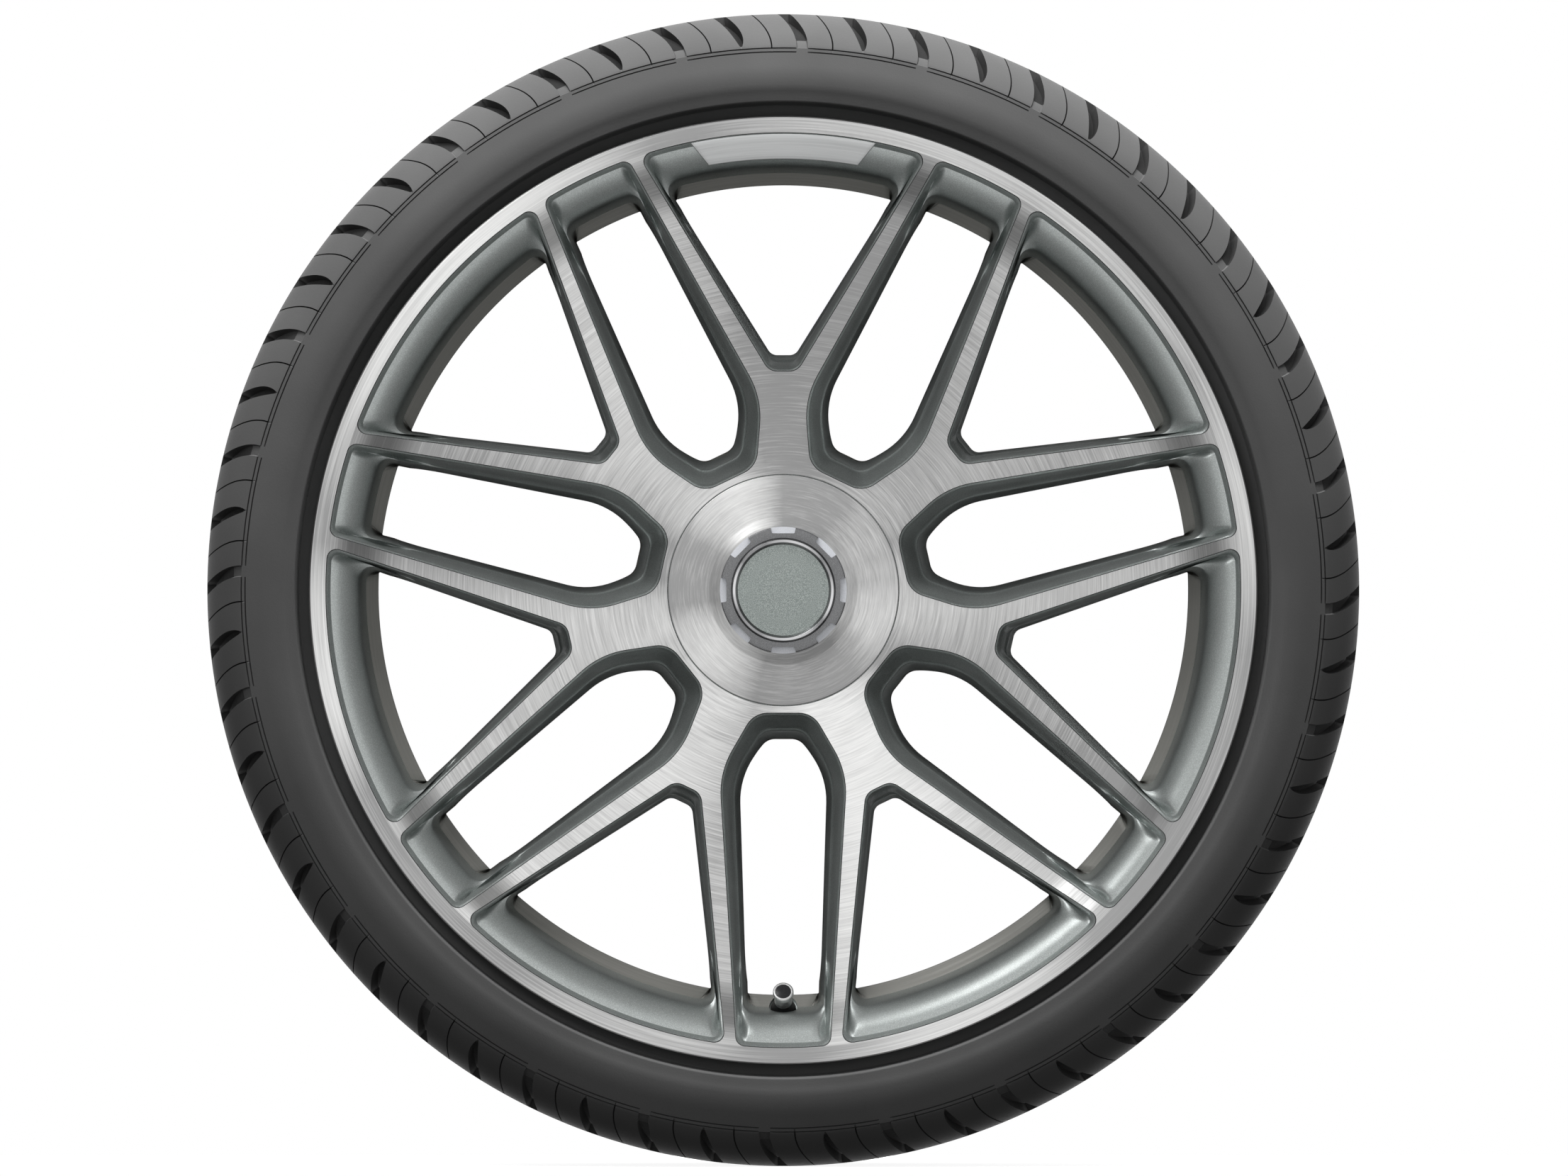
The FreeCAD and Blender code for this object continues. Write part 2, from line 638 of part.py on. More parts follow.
def rim_pieces():
    """The one forging, parted into its hub, its spokes, seven lengths of its lip and its barrel."""
    rim = forged_rim()
    corner = vector(0, -RIM_WIDTH, 0)
    hub_core = Part.makeCylinder(HUB_PART_R, 2 * RIM_WIDTH, corner, AXLE)
    disc_core = Part.makeCylinder(WELL_INNER_R - BARREL_PART_MARGIN, 2 * RIM_WIDTH, corner, AXLE)
    front = Part.makeCylinder(FLANGE_R + BARREL_PART_MARGIN, LIP_PART_Y + RIM_WIDTH, corner, AXLE)
    outer = rim.cut(disc_core)
    lip = outer.common(front)
    pieces = {"rim_hub": rim.common(hub_core), "rim_barrel": outer.cut(front)}
    for number in range(SPOKES):
        pieces[f"rim_lip_{number + 1}"] = lip.common(lip_wedge(number))
    for spoke in rim.common(disc_core).cut(hub_core).Solids:
        middle = spoke.CenterOfMass
        turn_deg = math.degrees(math.atan2(middle.x, middle.z))
        number = round(turn_deg / PITCH_DEG) % SPOKES + 1
        pieces[f"rim_spoke_{number}"] = spoke
    return pieces


# Tyre


def shoulder_corners(sign):
    """Outer profile of one side of the tyre from the bead heel to the tread, outboard for sign -1."""
    gap = BEAD_CLEARANCE
    half = HALF_WIDTH
    corners = [
        (seat_line_r(half - SEAT_WIDTH) + gap, half - SEAT_WIDTH, 0),
        (seat_line_r(half - HEEL_CHAMFER) + gap, half - HEEL_CHAMFER - gap, 0),
        (BEAD_SEAT_R + HEEL_CHAMFER + gap, half - gap, 0),
        (FLANGE_R - FLANGE_THICKNESS + gap, half - gap, 0),
        (FLANGE_R + 3 * gap, half + FLANGE_EDGE, 0),
        (FLANGE_R + GUARD_FOOT_HEIGHT, half + GUARD_REACH - GUARD_FOOT_STEP, 0),
        (FLANGE_R + GUARD_HEIGHT, half + GUARD_REACH, 0),
        (FLANGE_R + WAIST_HEIGHT, half + SIDEWALL_REACH - WAIST_STEP, 0),
        (FLANGE_R + BULGE_HEIGHT, half + SIDEWALL_REACH, 0),
    ]
    corners += [(r, -y, 0) for r, y in reversed(shoulder_line())]
    return [(r, sign * y, rounding) for r, y, rounding in corners]


def crown_corners():
    """Tread from the outboard to the inboard shoulder with its three round-the-tyre grooves."""
    corners = []
    for centre in (-GROOVE_PITCH, 0, GROOVE_PITCH):
        mouth = GROOVE_WIDTH / 2
        floor = mouth - GROOVE_DRAFT
        corners += [
            (TYRE_R, centre - mouth, 0),
            (TYRE_R - GROOVE_DEPTH, centre - floor, 0),
            (TYRE_R - GROOVE_DEPTH, centre + floor, 0),
            (TYRE_R, centre + mouth, 0),
        ]
    return corners


def liner_corners(sign):
    """Inside of one side of the tyre from the crown to the bead toe."""
    half = HALF_WIDTH
    crown_r = TYRE_R - TREAD_THICKNESS
    wall_y = half + SIDEWALL_REACH - SIDEWALL_THICKNESS
    corners = [
        (crown_r, CROWN_HALF - SIDEWALL_THICKNESS, 0),
        (TYRE_R - SHOULDER_DROP - SIDEWALL_THICKNESS, wall_y, 0),
        (FLANGE_R + LINER_HEIGHT, wall_y - LINER_STEP, 0),
        (FLANGE_R - BEAD_INSET, half - SIDEWALL_THICKNESS - BEAD_SHOULDER, 0),
        (SEAT_END_R + BEAD_TOE, half - SEAT_WIDTH, 0),
    ]
    return [(r, sign * y, rounding) for r, y, rounding in corners]


def shoulder_line():
    """Outboard shoulder from the tread to the sidewall's edge as (radius, y) points on a smooth bend."""
    crown = (TYRE_R - CROWN_DROP, -CROWN_HALF)
    edge_y = -HALF_WIDTH - SHOULDER_REACH
    knee = (TYRE_R - CROWN_DROP, edge_y + SHOULDER_DROP * SHOULDER_KNEE)
    edge = (TYRE_R - SHOULDER_DROP, edge_y)
    points = []
    for step in range(SHOULDER_STEPS + 1):
        t = step / SHOULDER_STEPS
        weights = ((1 - t) ** 2, 2 * t * (1 - t), t * t)
        r = sum(w * p[0] for w, p in zip(weights, (crown, knee, edge)))
        y = sum(w * p[1] for w, p in zip(weights, (crown, knee, edge)))
        points.append((r, y))
    return points


def shoulder_point(share):
    """Point (radius, y) and outward direction on the outboard shoulder, from tread to sidewall edge."""
    stops = shoulder_line()
    place = share * SHOULDER_STEPS
    index = min(int(place), SHOULDER_STEPS - 1)
    part = place - index
    a, b = stops[index], stops[index + 1]
    dr, dy = unit(b[0] - a[0], b[1] - a[1])
    return a[0] + (b[0] - a[0]) * part, a[1] + (b[1] - a[1]) * part, -dy, dr


def shoulder_groove(stations, sign):
    """Cutter for one groove across the shoulder at the top of the tyre; sign -1 is outboard."""
    over = SHOULDER_GROOVE_DEPTH
    wires = []
    for share, width, depth, turn_deg in stations:
        r, y, nr, ny = shoulder_point(share)
        turn = math.radians(turn_deg)
        points = []
        for side, height in ((-1, over), (1, over), (1, -depth), (-1, -depth)):
            radius = r + nr * height
            across = side * width / 2
            x = radius * math.sin(turn) + across * math.cos(turn)
            z = radius * math.cos(turn) - across * math.sin(turn)
            points.append(vector(sign * -x, sign * -(y + ny * height), z))
        wires.append(Part.makePolygon(points + points[:1]))
    return Part.makeLoft(wires, True, True)


def tyre():
    """Tyre with a true section, three round grooves and two kinds of groove across each shoulder."""
    outer = shoulder_corners(-1) + crown_corners() + shoulder_corners(1)[::-1]
    inner = liner_corners(1)[::-1] + liner_corners(-1)
    blank = turned(outer + inner)
    lean = SHOULDER_GROOVE_LEAN_DEG
    wide = SHOULDER_GROOVE_WIDTH
    deep = SHOULDER_GROOVE_DEPTH
    start = [(SHOULDER_GROOVE_START, wide, deep, 0.0), (SHOULDER_GROOVE_BEND, wide, deep, lean / 2)]
    through = start + [(OPEN_GROOVE_END, wide, OPEN_GROOVE_END_DEPTH, lean)]
    fading = start + [(BLIND_GROOVE_END, BLIND_GROOVE_END_WIDTH, BLIND_GROOVE_END_DEPTH, lean)]
    pitch = FULL_TURN / SHOULDER_GROOVES
    cutters = []
    for sign in (-1, 1):
        open_groove = shoulder_groove(through, sign)
        blind_groove = shoulder_groove(fading, sign)
        for index in range(SHOULDER_GROOVES):
            cutters.append(around(open_groove if index % 2 else blind_groove, index * pitch))
    return blank.cut(cutters)


# Valve


def on_valve(shape):
    """Moves a shape from the valve's own axis, +Z out of the seat face, to its place in the wheel."""
    lean = FreeCAD.Rotation(vector(1, 0, 0), 90 - VALVE_LEAN_DEG)
    place = FreeCAD.Placement(vector(0, VALVE_SEAT_Y, -VALVE_SEAT_R), lean)
    moved = shape.copy()
    moved.transformShape(place.toMatrix(), True)
    return moved


def valve_grommet():
    """Rubber body: a bulb inside the rim, a groove for its wall and a tapered neck outside."""
    bore = STEM_R + FIT_GAP
    groove = VALVE_HOLE_R - FIT_GAP
    bulb_end = -VALVE_WALL - VALVE_BULB_LENGTH
    return on_valve(spindle([
        (bore, bulb_end, 0),
        (VALVE_HOLE_R, bulb_end, 0),
        (VALVE_BULB_R, bulb_end / 2 - VALVE_WALL / 2, 0),
        (VALVE_BULB_R, -VALVE_WALL, 0),
        (groove, -VALVE_WALL, 0),
        (groove, 0, 0),
        (VALVE_COLLAR_R, 0, 0),
        (VALVE_COLLAR_R, VALVE_COLLAR_LENGTH, 0),
        (VALVE_NECK_R, VALVE_NECK_LENGTH, 0),
        (bore, VALVE_NECK_LENGTH, 0),
    ]))


def valve_stem():
    """Brass tube: threaded for the cap outside, bored for the core, drilled for air to its inner end."""
    core_bore = CORE_R + FIT_GAP
    seal_room = CORE_END - 2 * SEAL_LENGTH - PIN_TRAVEL
    return on_valve(spindle([
        (STEM_BORE_R, STEM_END, 0),
        (STEM_R, STEM_END, 0),
        (STEM_R, VALVE_NECK_LENGTH, 0),
        (STEM_THREAD_R, VALVE_NECK_LENGTH, 0),
        (STEM_THREAD_R, STEM_TOP, 0),
        (core_bore, STEM_TOP, 0),
        (core_bore, seal_room, 0),
        (STEM_BORE_R, seal_room, 0),
    ]))


def valve_core_body():
    bore = PIN_R + PIN_GAP
    return on_valve(spindle([
        (bore, CORE_END, 0),
        (CORE_R, CORE_END, 0),
        (CORE_R, CORE_TOP, 0),
        (CORE_SPRING_R, CORE_TOP, 0),
        (CORE_SPRING_R, SPRING_SEAT, 0),
        (bore, SPRING_SEAT, 0),
    ]))


def valve_core_pin():
    foot = CORE_END - SEAL_LENGTH - FIT_GAP / 2
    return on_valve(spindle([
        (0, foot, 0),
        (PIN_R, foot, 0),
        (PIN_R, PIN_TOP - PIN_HEAD_LENGTH, 0),
        (PIN_HEAD_R, PIN_TOP - PIN_HEAD_LENGTH, 0),
        (PIN_HEAD_R, PIN_TOP, 0),
        (0, PIN_TOP, 0),
    ]))


def valve_core_spring():
    """Square-wire coil between the core's inner seat and the pin's head."""
    rise = SPRING_LENGTH - 2 * SPRING_WIRE
    path = Part.makeHelix(rise / SPRING_TURNS, rise, SPRING_R)
    half = SPRING_WIRE / 2
    corners = [(-half, -half), (half, -half), (half, half), (-half, half)]
    points = [vector(SPRING_R + r, 0, h) for r, h in corners]
    section = Part.makePolygon(points + points[:1])
    coil = Part.Wire(path.Edges).makePipeShell([section], True, True)
    coil.translate(vector(0, 0, SPRING_SEAT + SPRING_WIRE))
    return on_valve(coil)


def valve_core_seal():
    top = CORE_END - FIT_GAP / 2
    return on_valve(spindle([
        (PIN_R, top - SEAL_LENGTH, 0),
        (SEAL_R, top - SEAL_LENGTH, 0),
        (SEAL_R, top, 0),
        (PIN_R, top, 0),
    ]))


def valve_cap():
    """Metal cap with a wider head and a shallow round place for the inlay."""
    bore = STEM_THREAD_R + CAP_THREAD_GAP
    head = CAP_FRONT - CAP_HEAD_LENGTH
    inlay = INLAY_R + FIT_GAP
    return on_valve(spindle([
        (bore, CAP_START, 0),
        (CAP_SKIRT_R, CAP_START, 0),
        (CAP_SKIRT_R, head - CAP_EDGE, 0),
        (CAP_R, head, 0),
        (CAP_R, CAP_FRONT - CAP_EDGE, 0),
        (CAP_R - CAP_EDGE, CAP_FRONT, 0),
        (inlay, CAP_FRONT, 0),
        (inlay, CAP_FRONT - INLAY_DEPTH, 0),
        (0, CAP_FRONT - INLAY_DEPTH, 0),
        (0, CAP_CEILING, 0),
        (bore, CAP_CEILING, 0),
    ]))


def valve_cap_seal():
    outer = STEM_THREAD_R + CAP_THREAD_GAP - FIT_GAP
    return on_valve(spindle([
        (CAP_SEAL_BORE_R, CAP_CEILING - CAP_SEAL_THICKNESS, 0),
        (outer, CAP_CEILING - CAP_SEAL_THICKNESS, 0),
        (outer, CAP_CEILING, 0),
        (CAP_SEAL_BORE_R, CAP_CEILING, 0),
    ]))


def valve_cap_inlay():
    return on_valve(Part.makeCylinder(INLAY_R, INLAY_DEPTH, vector(0, 0, CAP_FRONT - INLAY_DEPTH)))


# Pressure sensor


def sensor_plate(margin, bottom_r, height):
    """Rounded plate over the drop well below the axle, from bottom_r outwards by a height."""
    half = SENSOR_HALF_WIDTH - margin
    front = -WELL_START - WELL_LENGTH + SENSOR_WELL_GAP + margin
    back = -WELL_START - WELL_LENGTH + SENSOR_WELL_GAP + SENSOR_LENGTH - margin
    corners = [(-half, front), (half, front), (half, back), (-half, back)]
    outline = closed_wire([(x, y, SENSOR_CORNER) for x, y in corners], vector)
    plate = Part.Face(outline).extrude(vector(0, 0, height))
    plate.translate(vector(0, 0, -bottom_r - height))
    return plate


def screw_access():
    """Clear way to the screw's head, along the valve from inside the tyre."""
    reach = SENSOR_BOSS_LENGTH + SENSOR_LENGTH
    return on_valve(Part.makeCylinder(SCREW_ACCESS_R, reach, vector(0, 0, SCREW_SEAT - reach)))


def sensor_case():
    """Moulded case that follows the well's floor, with a boss that the screw holds to the stem."""
    floor_r = WELL_OUTER_R + SENSOR_FLOOR_GAP
    sunk = SENSOR_HEIGHT / 2
    block = sensor_plate(0, floor_r - sunk, SENSOR_HEIGHT + sunk)
    reach = 2 * WELL_LENGTH
    middle = vector(0, -WELL_START - WELL_LENGTH / 2 - reach / 2, 0)
    well = Part.makeCylinder(floor_r, reach, middle, AXLE)
    boss_end = STEM_END - SENSOR_BOSS_LENGTH
    boss = on_valve(Part.makeCylinder(SENSOR_BOSS_R, SENSOR_BOSS_LENGTH, vector(0, 0, boss_end)))
    hole_start = vector(0, 0, SCREW_SEAT - CUT_OVER)
    hole = on_valve(Part.makeCylinder(SCREW_R + SCREW_GAP, SENSOR_TAB * 2, hole_start))
    return block.fuse(boss).cut([well, hole, screw_access()])


def sensor_lid():
    lid_r = WELL_OUTER_R + SENSOR_FLOOR_GAP + SENSOR_HEIGHT
    return sensor_plate(SENSOR_LID_MARGIN, lid_r, SENSOR_LID_THICKNESS).cut(screw_access())


def sensor_screw():
    """Hollow screw, so that the tyre's air reaches the stem."""
    return on_valve(spindle([
        (SCREW_DRILLING_R, SCREW_SEAT - SCREW_HEAD_LENGTH, 0),
        (SCREW_HEAD_R, SCREW_SEAT - SCREW_HEAD_LENGTH, 0),
        (SCREW_HEAD_R, SCREW_SEAT, 0),
        (SCREW_R, SCREW_SEAT, 0),
        (SCREW_R, STEM_END + SCREW_HOLD, 0),
        (SCREW_DRILLING_R, STEM_END + SCREW_HOLD, 0),
    ]))


# Hub cap


def hub_cap_cover():
    """Round cover that hides the wheel bolts, flush with the hub and rising to the boss."""
    hole = STUB_R + FIT_GAP
    skirt_y = COVER_FLOOR_Y - COVER_FLOOR_GAP
    return turned([
        (COVER_R, HUB_Y, 0),
        (COVER_R, skirt_y, 0),
        (COVER_R - COVER_SKIRT, skirt_y, 0),
        (COVER_R - COVER_SKIRT, HUB_Y + COVER_WALL, 0),
        (CONE_R, HUB_Y + COVER_WALL, 0),
        (CONE_TOP_R, FLANGE_TOP_Y, 0),
        (hole, FLANGE_TOP_Y, 0),
        (hole, CONE_TOP_Y, 0),
        (CONE_TOP_R, CONE_TOP_Y, 0),
        (CONE_R, HUB_Y, 0),
    ])


def hub_cap_carrier():
    """Moulded cup: its front carries the badge, its slotted back clips into the cap bore."""
    inner = FINGER_R - CARRIER_WALL
    cup = STUB_R - CARRIER_WALL
    carrier = turned([
        (FINGER_R, FINGER_END_Y, 0),
        (FINGER_R, FLANGE_BACK_Y, 0),
        (LOCK_RING_R + CARRIER_FLANGE, FLANGE_BACK_Y, 0),
        (LOCK_RING_R + CARRIER_FLANGE, FLANGE_TOP_Y, 0),
        (STUB_R, FLANGE_TOP_Y, 0),
        (STUB_R, BEZEL_BACK_Y, 0),
        (0, BEZEL_BACK_Y, 0),
        (0, BEZEL_BACK_Y + CARRIER_WALL, 0),
        (cup, BEZEL_BACK_Y + CARRIER_WALL, 0),
        (cup, FLANGE_BACK_Y, 0),
        (inner, FLANGE_BACK_Y + CARRIER_WALL, 0),
        (inner, FINGER_END_Y, 0),
    ])
    slot_y = FLANGE_BACK_Y + CARRIER_WALL
    slot = Part.makeBox(FINGER_SLOT, FINGER_REACH, CAP_BORE_R, vector(-FINGER_SLOT / 2, slot_y, 0))
    return carrier.cut([around(slot, index * FULL_TURN / FINGER_COUNT) for index in range(FINGER_COUNT)])


def hub_cap_spring_ring():
    """Wire ring that keeps the fingers pressed outwards."""
    ring_r = FINGER_R - CARRIER_WALL - SPRING_RING_WIRE_R - FIT_GAP / 2
    ring_y = FINGER_END_Y - SPRING_RING_SETBACK
    corners = []
    for side in range(WIRE_SIDES):
        angle = 2 * math.pi * side / WIRE_SIDES
        radius = ring_r + SPRING_RING_WIRE_R * math.cos(angle)
        corners.append((radius, ring_y + SPRING_RING_WIRE_R * math.sin(angle), 0))
    return turned(corners)


def hub_cap_lock_ring():
    """Ring with square notches round its front edge, like a castle nut."""
    ring = turned([
        (BEZEL_R + FIT_GAP, CONE_TOP_Y, 0),
        (LOCK_RING_R, CONE_TOP_Y, 0),
        (LOCK_RING_R, LOCK_RING_Y + LOCK_RING_EDGE, 0),
        (LOCK_RING_R - LOCK_RING_EDGE, LOCK_RING_Y, 0),
        (BEZEL_R + FIT_GAP, LOCK_RING_Y, 0),
    ])
    notch = turned([
        (NOTCH_FACE_R, LOCK_RING_Y - CUT_OVER, 0),
        (LOCK_RING_R + CUT_OVER, LOCK_RING_Y - CUT_OVER, 0),
        (LOCK_RING_R + CUT_OVER, LOCK_RING_Y + NOTCH_LENGTH, 0),
        (NOTCH_FACE_R, LOCK_RING_Y + NOTCH_LENGTH, 0),
    ])
    reach = LOCK_RING_R + 2 * CUT_OVER
    spread = reach * math.tan(math.radians(NOTCH_HALF_DEG))
    corners = [vector(0, 0, 0), vector(spread, 0, reach), vector(-spread, 0, reach), vector(0, 0, 0)]
    wedge = Part.Face(Part.makePolygon(corners)).extrude(vector(0, 2 * LOCK_RING_Y, 0))
    cutter = notch.common(wedge)
    return ring.cut([around(cutter, index * FULL_TURN / NOTCHES) for index in range(NOTCHES)])


def hub_cap_bezel():
    """Bright ring round the badge, bevelled outside and sloping in to the badge."""
    inner = BEZEL_R - BEZEL_WIDTH
    front = LOCK_RING_Y - BEZEL_PROUD
    return turned([
        (inner, BEZEL_BACK_Y, 0),
        (BEZEL_R, BEZEL_BACK_Y, 0),
        (BEZEL_R, front + BEZEL_EDGE, 0),
        (BEZEL_R - BEZEL_EDGE, front, 0),
        (BEZEL_R - 2 * BEZEL_EDGE, front, 0),
        (inner, front + BEZEL_WIDTH - 2 * BEZEL_EDGE, 0),
    ])


def hub_cap_badge():
    """Plain crowned disc."""
    height = BADGE_THICKNESS + BADGE_CROWN
    ball_r = (BADGE_R ** 2 + BADGE_CROWN ** 2) / (2 * BADGE_CROWN)
    disc = Part.makeCylinder(BADGE_R, height, vector(0, BEZEL_BACK_Y - height, 0), AXLE)
    ball = Part.makeSphere(ball_r, vector(0, BEZEL_BACK_Y - height + ball_r, 0))
    return disc.common(ball)


def main():
    os.makedirs("parts", exist_ok=True)
    makers = [
        tyre,
        valve_grommet, valve_stem, valve_core_body, valve_core_pin, valve_core_spring, valve_core_seal,
        valve_cap, valve_cap_seal, valve_cap_inlay,
        sensor_case, sensor_lid, sensor_screw,
        hub_cap_cover, hub_cap_carrier, hub_cap_spring_ring,
        hub_cap_lock_ring, hub_cap_bezel, hub_cap_badge,
    ]
    pieces = rim_pieces()
    for maker in makers:
        pieces[maker.__name__] = maker()
    for name, shape in pieces.items():
        shape.exportStep(f"parts/{name}.step")


main()
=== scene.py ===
"""Looks of a forged car wheel: turned and painted rim, tyre, valve and hub cap.

Sizes are in millimetres and angles in degrees. Meshes become metres when they are finished.
The wheel turns about Y, its front looks along -Y, and +Z is up. Turned sections are (radius, y) pairs.
"""
import logging
import math
from dataclasses import dataclass, field
from enum import Enum
from typing import Sequence, Union

import bmesh
import bpy
from mathutils import Matrix, Vector


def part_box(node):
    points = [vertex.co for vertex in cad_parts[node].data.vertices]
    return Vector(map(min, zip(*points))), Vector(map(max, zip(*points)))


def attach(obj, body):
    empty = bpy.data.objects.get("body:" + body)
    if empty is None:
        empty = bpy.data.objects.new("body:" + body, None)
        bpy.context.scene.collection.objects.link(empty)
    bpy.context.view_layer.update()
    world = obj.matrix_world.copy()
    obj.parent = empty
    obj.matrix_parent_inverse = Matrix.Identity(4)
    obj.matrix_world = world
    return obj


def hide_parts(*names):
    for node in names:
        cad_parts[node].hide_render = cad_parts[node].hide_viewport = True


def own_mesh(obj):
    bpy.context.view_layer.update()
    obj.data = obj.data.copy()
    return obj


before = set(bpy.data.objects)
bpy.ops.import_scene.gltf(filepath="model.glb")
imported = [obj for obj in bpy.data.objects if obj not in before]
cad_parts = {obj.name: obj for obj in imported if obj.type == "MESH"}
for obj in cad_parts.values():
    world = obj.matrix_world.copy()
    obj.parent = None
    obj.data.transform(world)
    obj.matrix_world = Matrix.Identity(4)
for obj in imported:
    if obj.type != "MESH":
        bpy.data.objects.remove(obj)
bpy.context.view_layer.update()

LOG = logging.getLogger("wheel")

MM = 0.001
AXLE = Vector((0.0, 1.0, 0.0))
FULL_TURN = 2 * math.pi
WHEEL_BODY = "wheel"
HUB_CAP_BODY = "hub_cap"
VALVE_CAP_BODY = "valve_cap"
IMAGE_WIDTH_PX = 2212
COVER_GAP = 0.25
WIDE_NOISE = (0.3, 0.7)
NARROW_NOISE = (0.35, 0.65)
FINE_BUMP = 0.0002
SKIN_BUMP = 0.0003
WHITE = (1.0, 1.0, 1.0, 1.0)

BMesh = bmesh.types.BMesh
BMVert = bmesh.types.BMVert
BMEdge = bmesh.types.BMEdge
BMFace = bmesh.types.BMFace
Material = bpy.types.Material
Mesh = bpy.types.Mesh
Piece = bpy.types.Object
Socket = bpy.types.NodeSocket
Colour = tuple[float, float, float]
Point = tuple[float, float]
Corner = tuple[float, ...]
Section = list[Point]
Number = Union[float, Socket]


def node_box(node: str) -> list[list[float]]:
    """Lowest and highest corner of a solid of the frame, in millimetres."""
    return [[round(value / MM, 3) for value in corner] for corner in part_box(node)]


def mix(a: float, b: float, share: float) -> float:
    """Value between a and b."""
    return a + (b - a) * share


def grey(tone: float) -> Colour:
    """Colour without a hue."""
    return (tone, tone, tone)


def face_out(bm: BMesh) -> None:
    """Turns the faces of closed bodies outwards."""
    bmesh.ops.recalc_face_normals(bm, faces=bm.faces[:])


def smooth_step(share: float) -> float:
    """Share eased at both ends, held between 0 and 1."""
    held = min(1.0, max(0.0, share))
    return held * held * (3 - 2 * held)


def corner_points(before: Corner, corner: Corner, after: Corner, radius: float, chords: int) -> Section:
    """Points of the arc that rounds one corner of an outline.

    Args:
        before: The outline's point before the corner.
        corner: The sharp corner.
        after: The outline's point after the corner.
        radius: Radius of the arc.
        chords: Straight pieces in the arc.

    Returns:
        The arc's points, both tangent points included.
    """
    tip = Vector(corner[:2])
    arriving = (tip - Vector(before[:2])).normalized()
    leaving = (Vector(after[:2]) - tip).normalized()
    cross = arriving.x * leaving.y - arriving.y * leaving.x
    turn = math.atan2(cross, arriving.dot(leaving))
    inward = Vector((-arriving.y, arriving.x)) * math.copysign(1.0, turn)
    start = tip - arriving * radius * math.tan(abs(turn) / 2)
    centre = start + inward * radius
    points = []
    for step in range(chords + 1):
        spoke = Matrix.Rotation(turn * step / chords, 2) @ (start - centre)
        points.append(tuple(centre + spoke))
    return points


def rounded(corners: Sequence[Corner], chords: int = 5) -> Section:
    """Open outline through (u, v) corners, with an arc at each (u, v, radius) corner.

    Args:
        corners: The outline's corners in order.
        chords: Straight pieces in each arc.

    Returns:
        The outline's points.
    """
    points: Section = []
    for index, corner in enumerate(corners):
        if len(corner) == 3:
            points += corner_points(corners[index - 1], corner, corners[index + 1], corner[2], chords)
        else:
            points.append(corner)
    return points


def add_ring(bm: BMesh, places: Sequence[Vector]) -> list[BMVert]:
    """New closed loop of vertices and edges through the places."""
    ring = [bm.verts.new(place) for place in places]
    for index, vertex in enumerate(ring):
        bm.edges.new((ring[index - 1], vertex))
    return ring


def ring_edges(bm: BMesh, ring: Sequence[BMVert]) -> list[BMEdge]:
    """Edges of a closed loop of vertices."""
    return [bm.edges.get((ring[index - 1], vertex)) for index, vertex in enumerate(ring)]


def fill_ring(bm: BMesh, ring: Sequence[BMVert], surface: int) -> None:
    """Closes a loop of vertices with a face of a material index."""
    for face in bmesh.ops.edgeloop_fill(bm, edges=ring_edges(bm, ring))["faces"]:
        face.material_index = surface


def extrude_ring(bm: BMesh, ring: Sequence[BMVert],
                 places: Sequence[Vector], surface: int) -> list[BMVert]:
    """Extrudes a closed loop and moves the new loop to its places.

    Args:
        bm: The mesh that holds the loop.
        ring: The loop's vertices in order.
        places: Where each new vertex goes.
        surface: Material index of the new faces.

    Returns:
        The new loop's vertices in the same order.
    """
    made = bmesh.ops.extrude_edge_only(bm, edges=ring_edges(bm, ring))["geom"]
    fresh = {item for item in made if isinstance(item, BMVert)}
    for face in (item for item in made if isinstance(item, BMFace)):
        face.material_index = surface
    following = []
    for vertex, place in zip(ring, places):
        partners = [edge.other_vert(vertex) for edge in vertex.link_edges]
        partner = next(other for other in partners if other in fresh)
        partner.co = place
        following.append(partner)
    return following


def spin_section(bm: BMesh, section: Section, steps: int, closed: bool = True) -> None:
    """Turns a section about the axle into a surface.

    Args:
        bm: The mesh that receives the surface.
        section: (radius, y) points in order.
        steps: Steps of the full turn.
        closed: Whether the last point joins the first.
    """
    verts = [bm.verts.new((radius, y, 0.0)) for radius, y in section]
    edges = [bm.edges.new(pair) for pair in zip(verts, verts[1:])]
    if closed:
        edges.append(bm.edges.new((verts[-1], verts[0])))
    bmesh.ops.spin(bm, geom=verts + edges, cent=(0, 0, 0), axis=AXLE, angle=FULL_TURN, steps=steps,
                   use_merge=True)
    bmesh.ops.remove_doubles(bm, verts=bm.verts[:], dist=1e-5)
    face_out(bm)


def repeat_round(bm: BMesh, copies: int, first_turn: float = 0.0) -> None:
    """Turns a mesh by first_turn and copies it evenly about the axle until there are as many as copies."""
    bmesh.ops.rotate(bm, verts=bm.verts[:], cent=(0, 0, 0), matrix=Matrix.Rotation(first_turn, 3, AXLE))
    geometry = bm.verts[:] + bm.edges[:] + bm.faces[:]
    sweep = FULL_TURN * (copies - 1) / copies
    bmesh.ops.spin(bm, geom=geometry, cent=(0, 0, 0), axis=AXLE, angle=sweep, steps=copies - 1,
                   use_duplicate=True)


def plain_mesh(bm: BMesh, name: str) -> Mesh:
    """Mesh in metres from a bmesh in millimetres, which is freed."""
    bmesh.ops.scale(bm, vec=(MM, MM, MM), verts=bm.verts[:])
    mesh = bpy.data.meshes.new(name)
    bm.to_mesh(mesh)
    bm.free()
    return mesh


def give_materials(mesh: Mesh, materials: Sequence[Material]) -> None:
    """Adds materials to a mesh that has none, and keeps its material indices."""
    if not mesh.materials:
        for material in materials:
            mesh.materials.append(material)


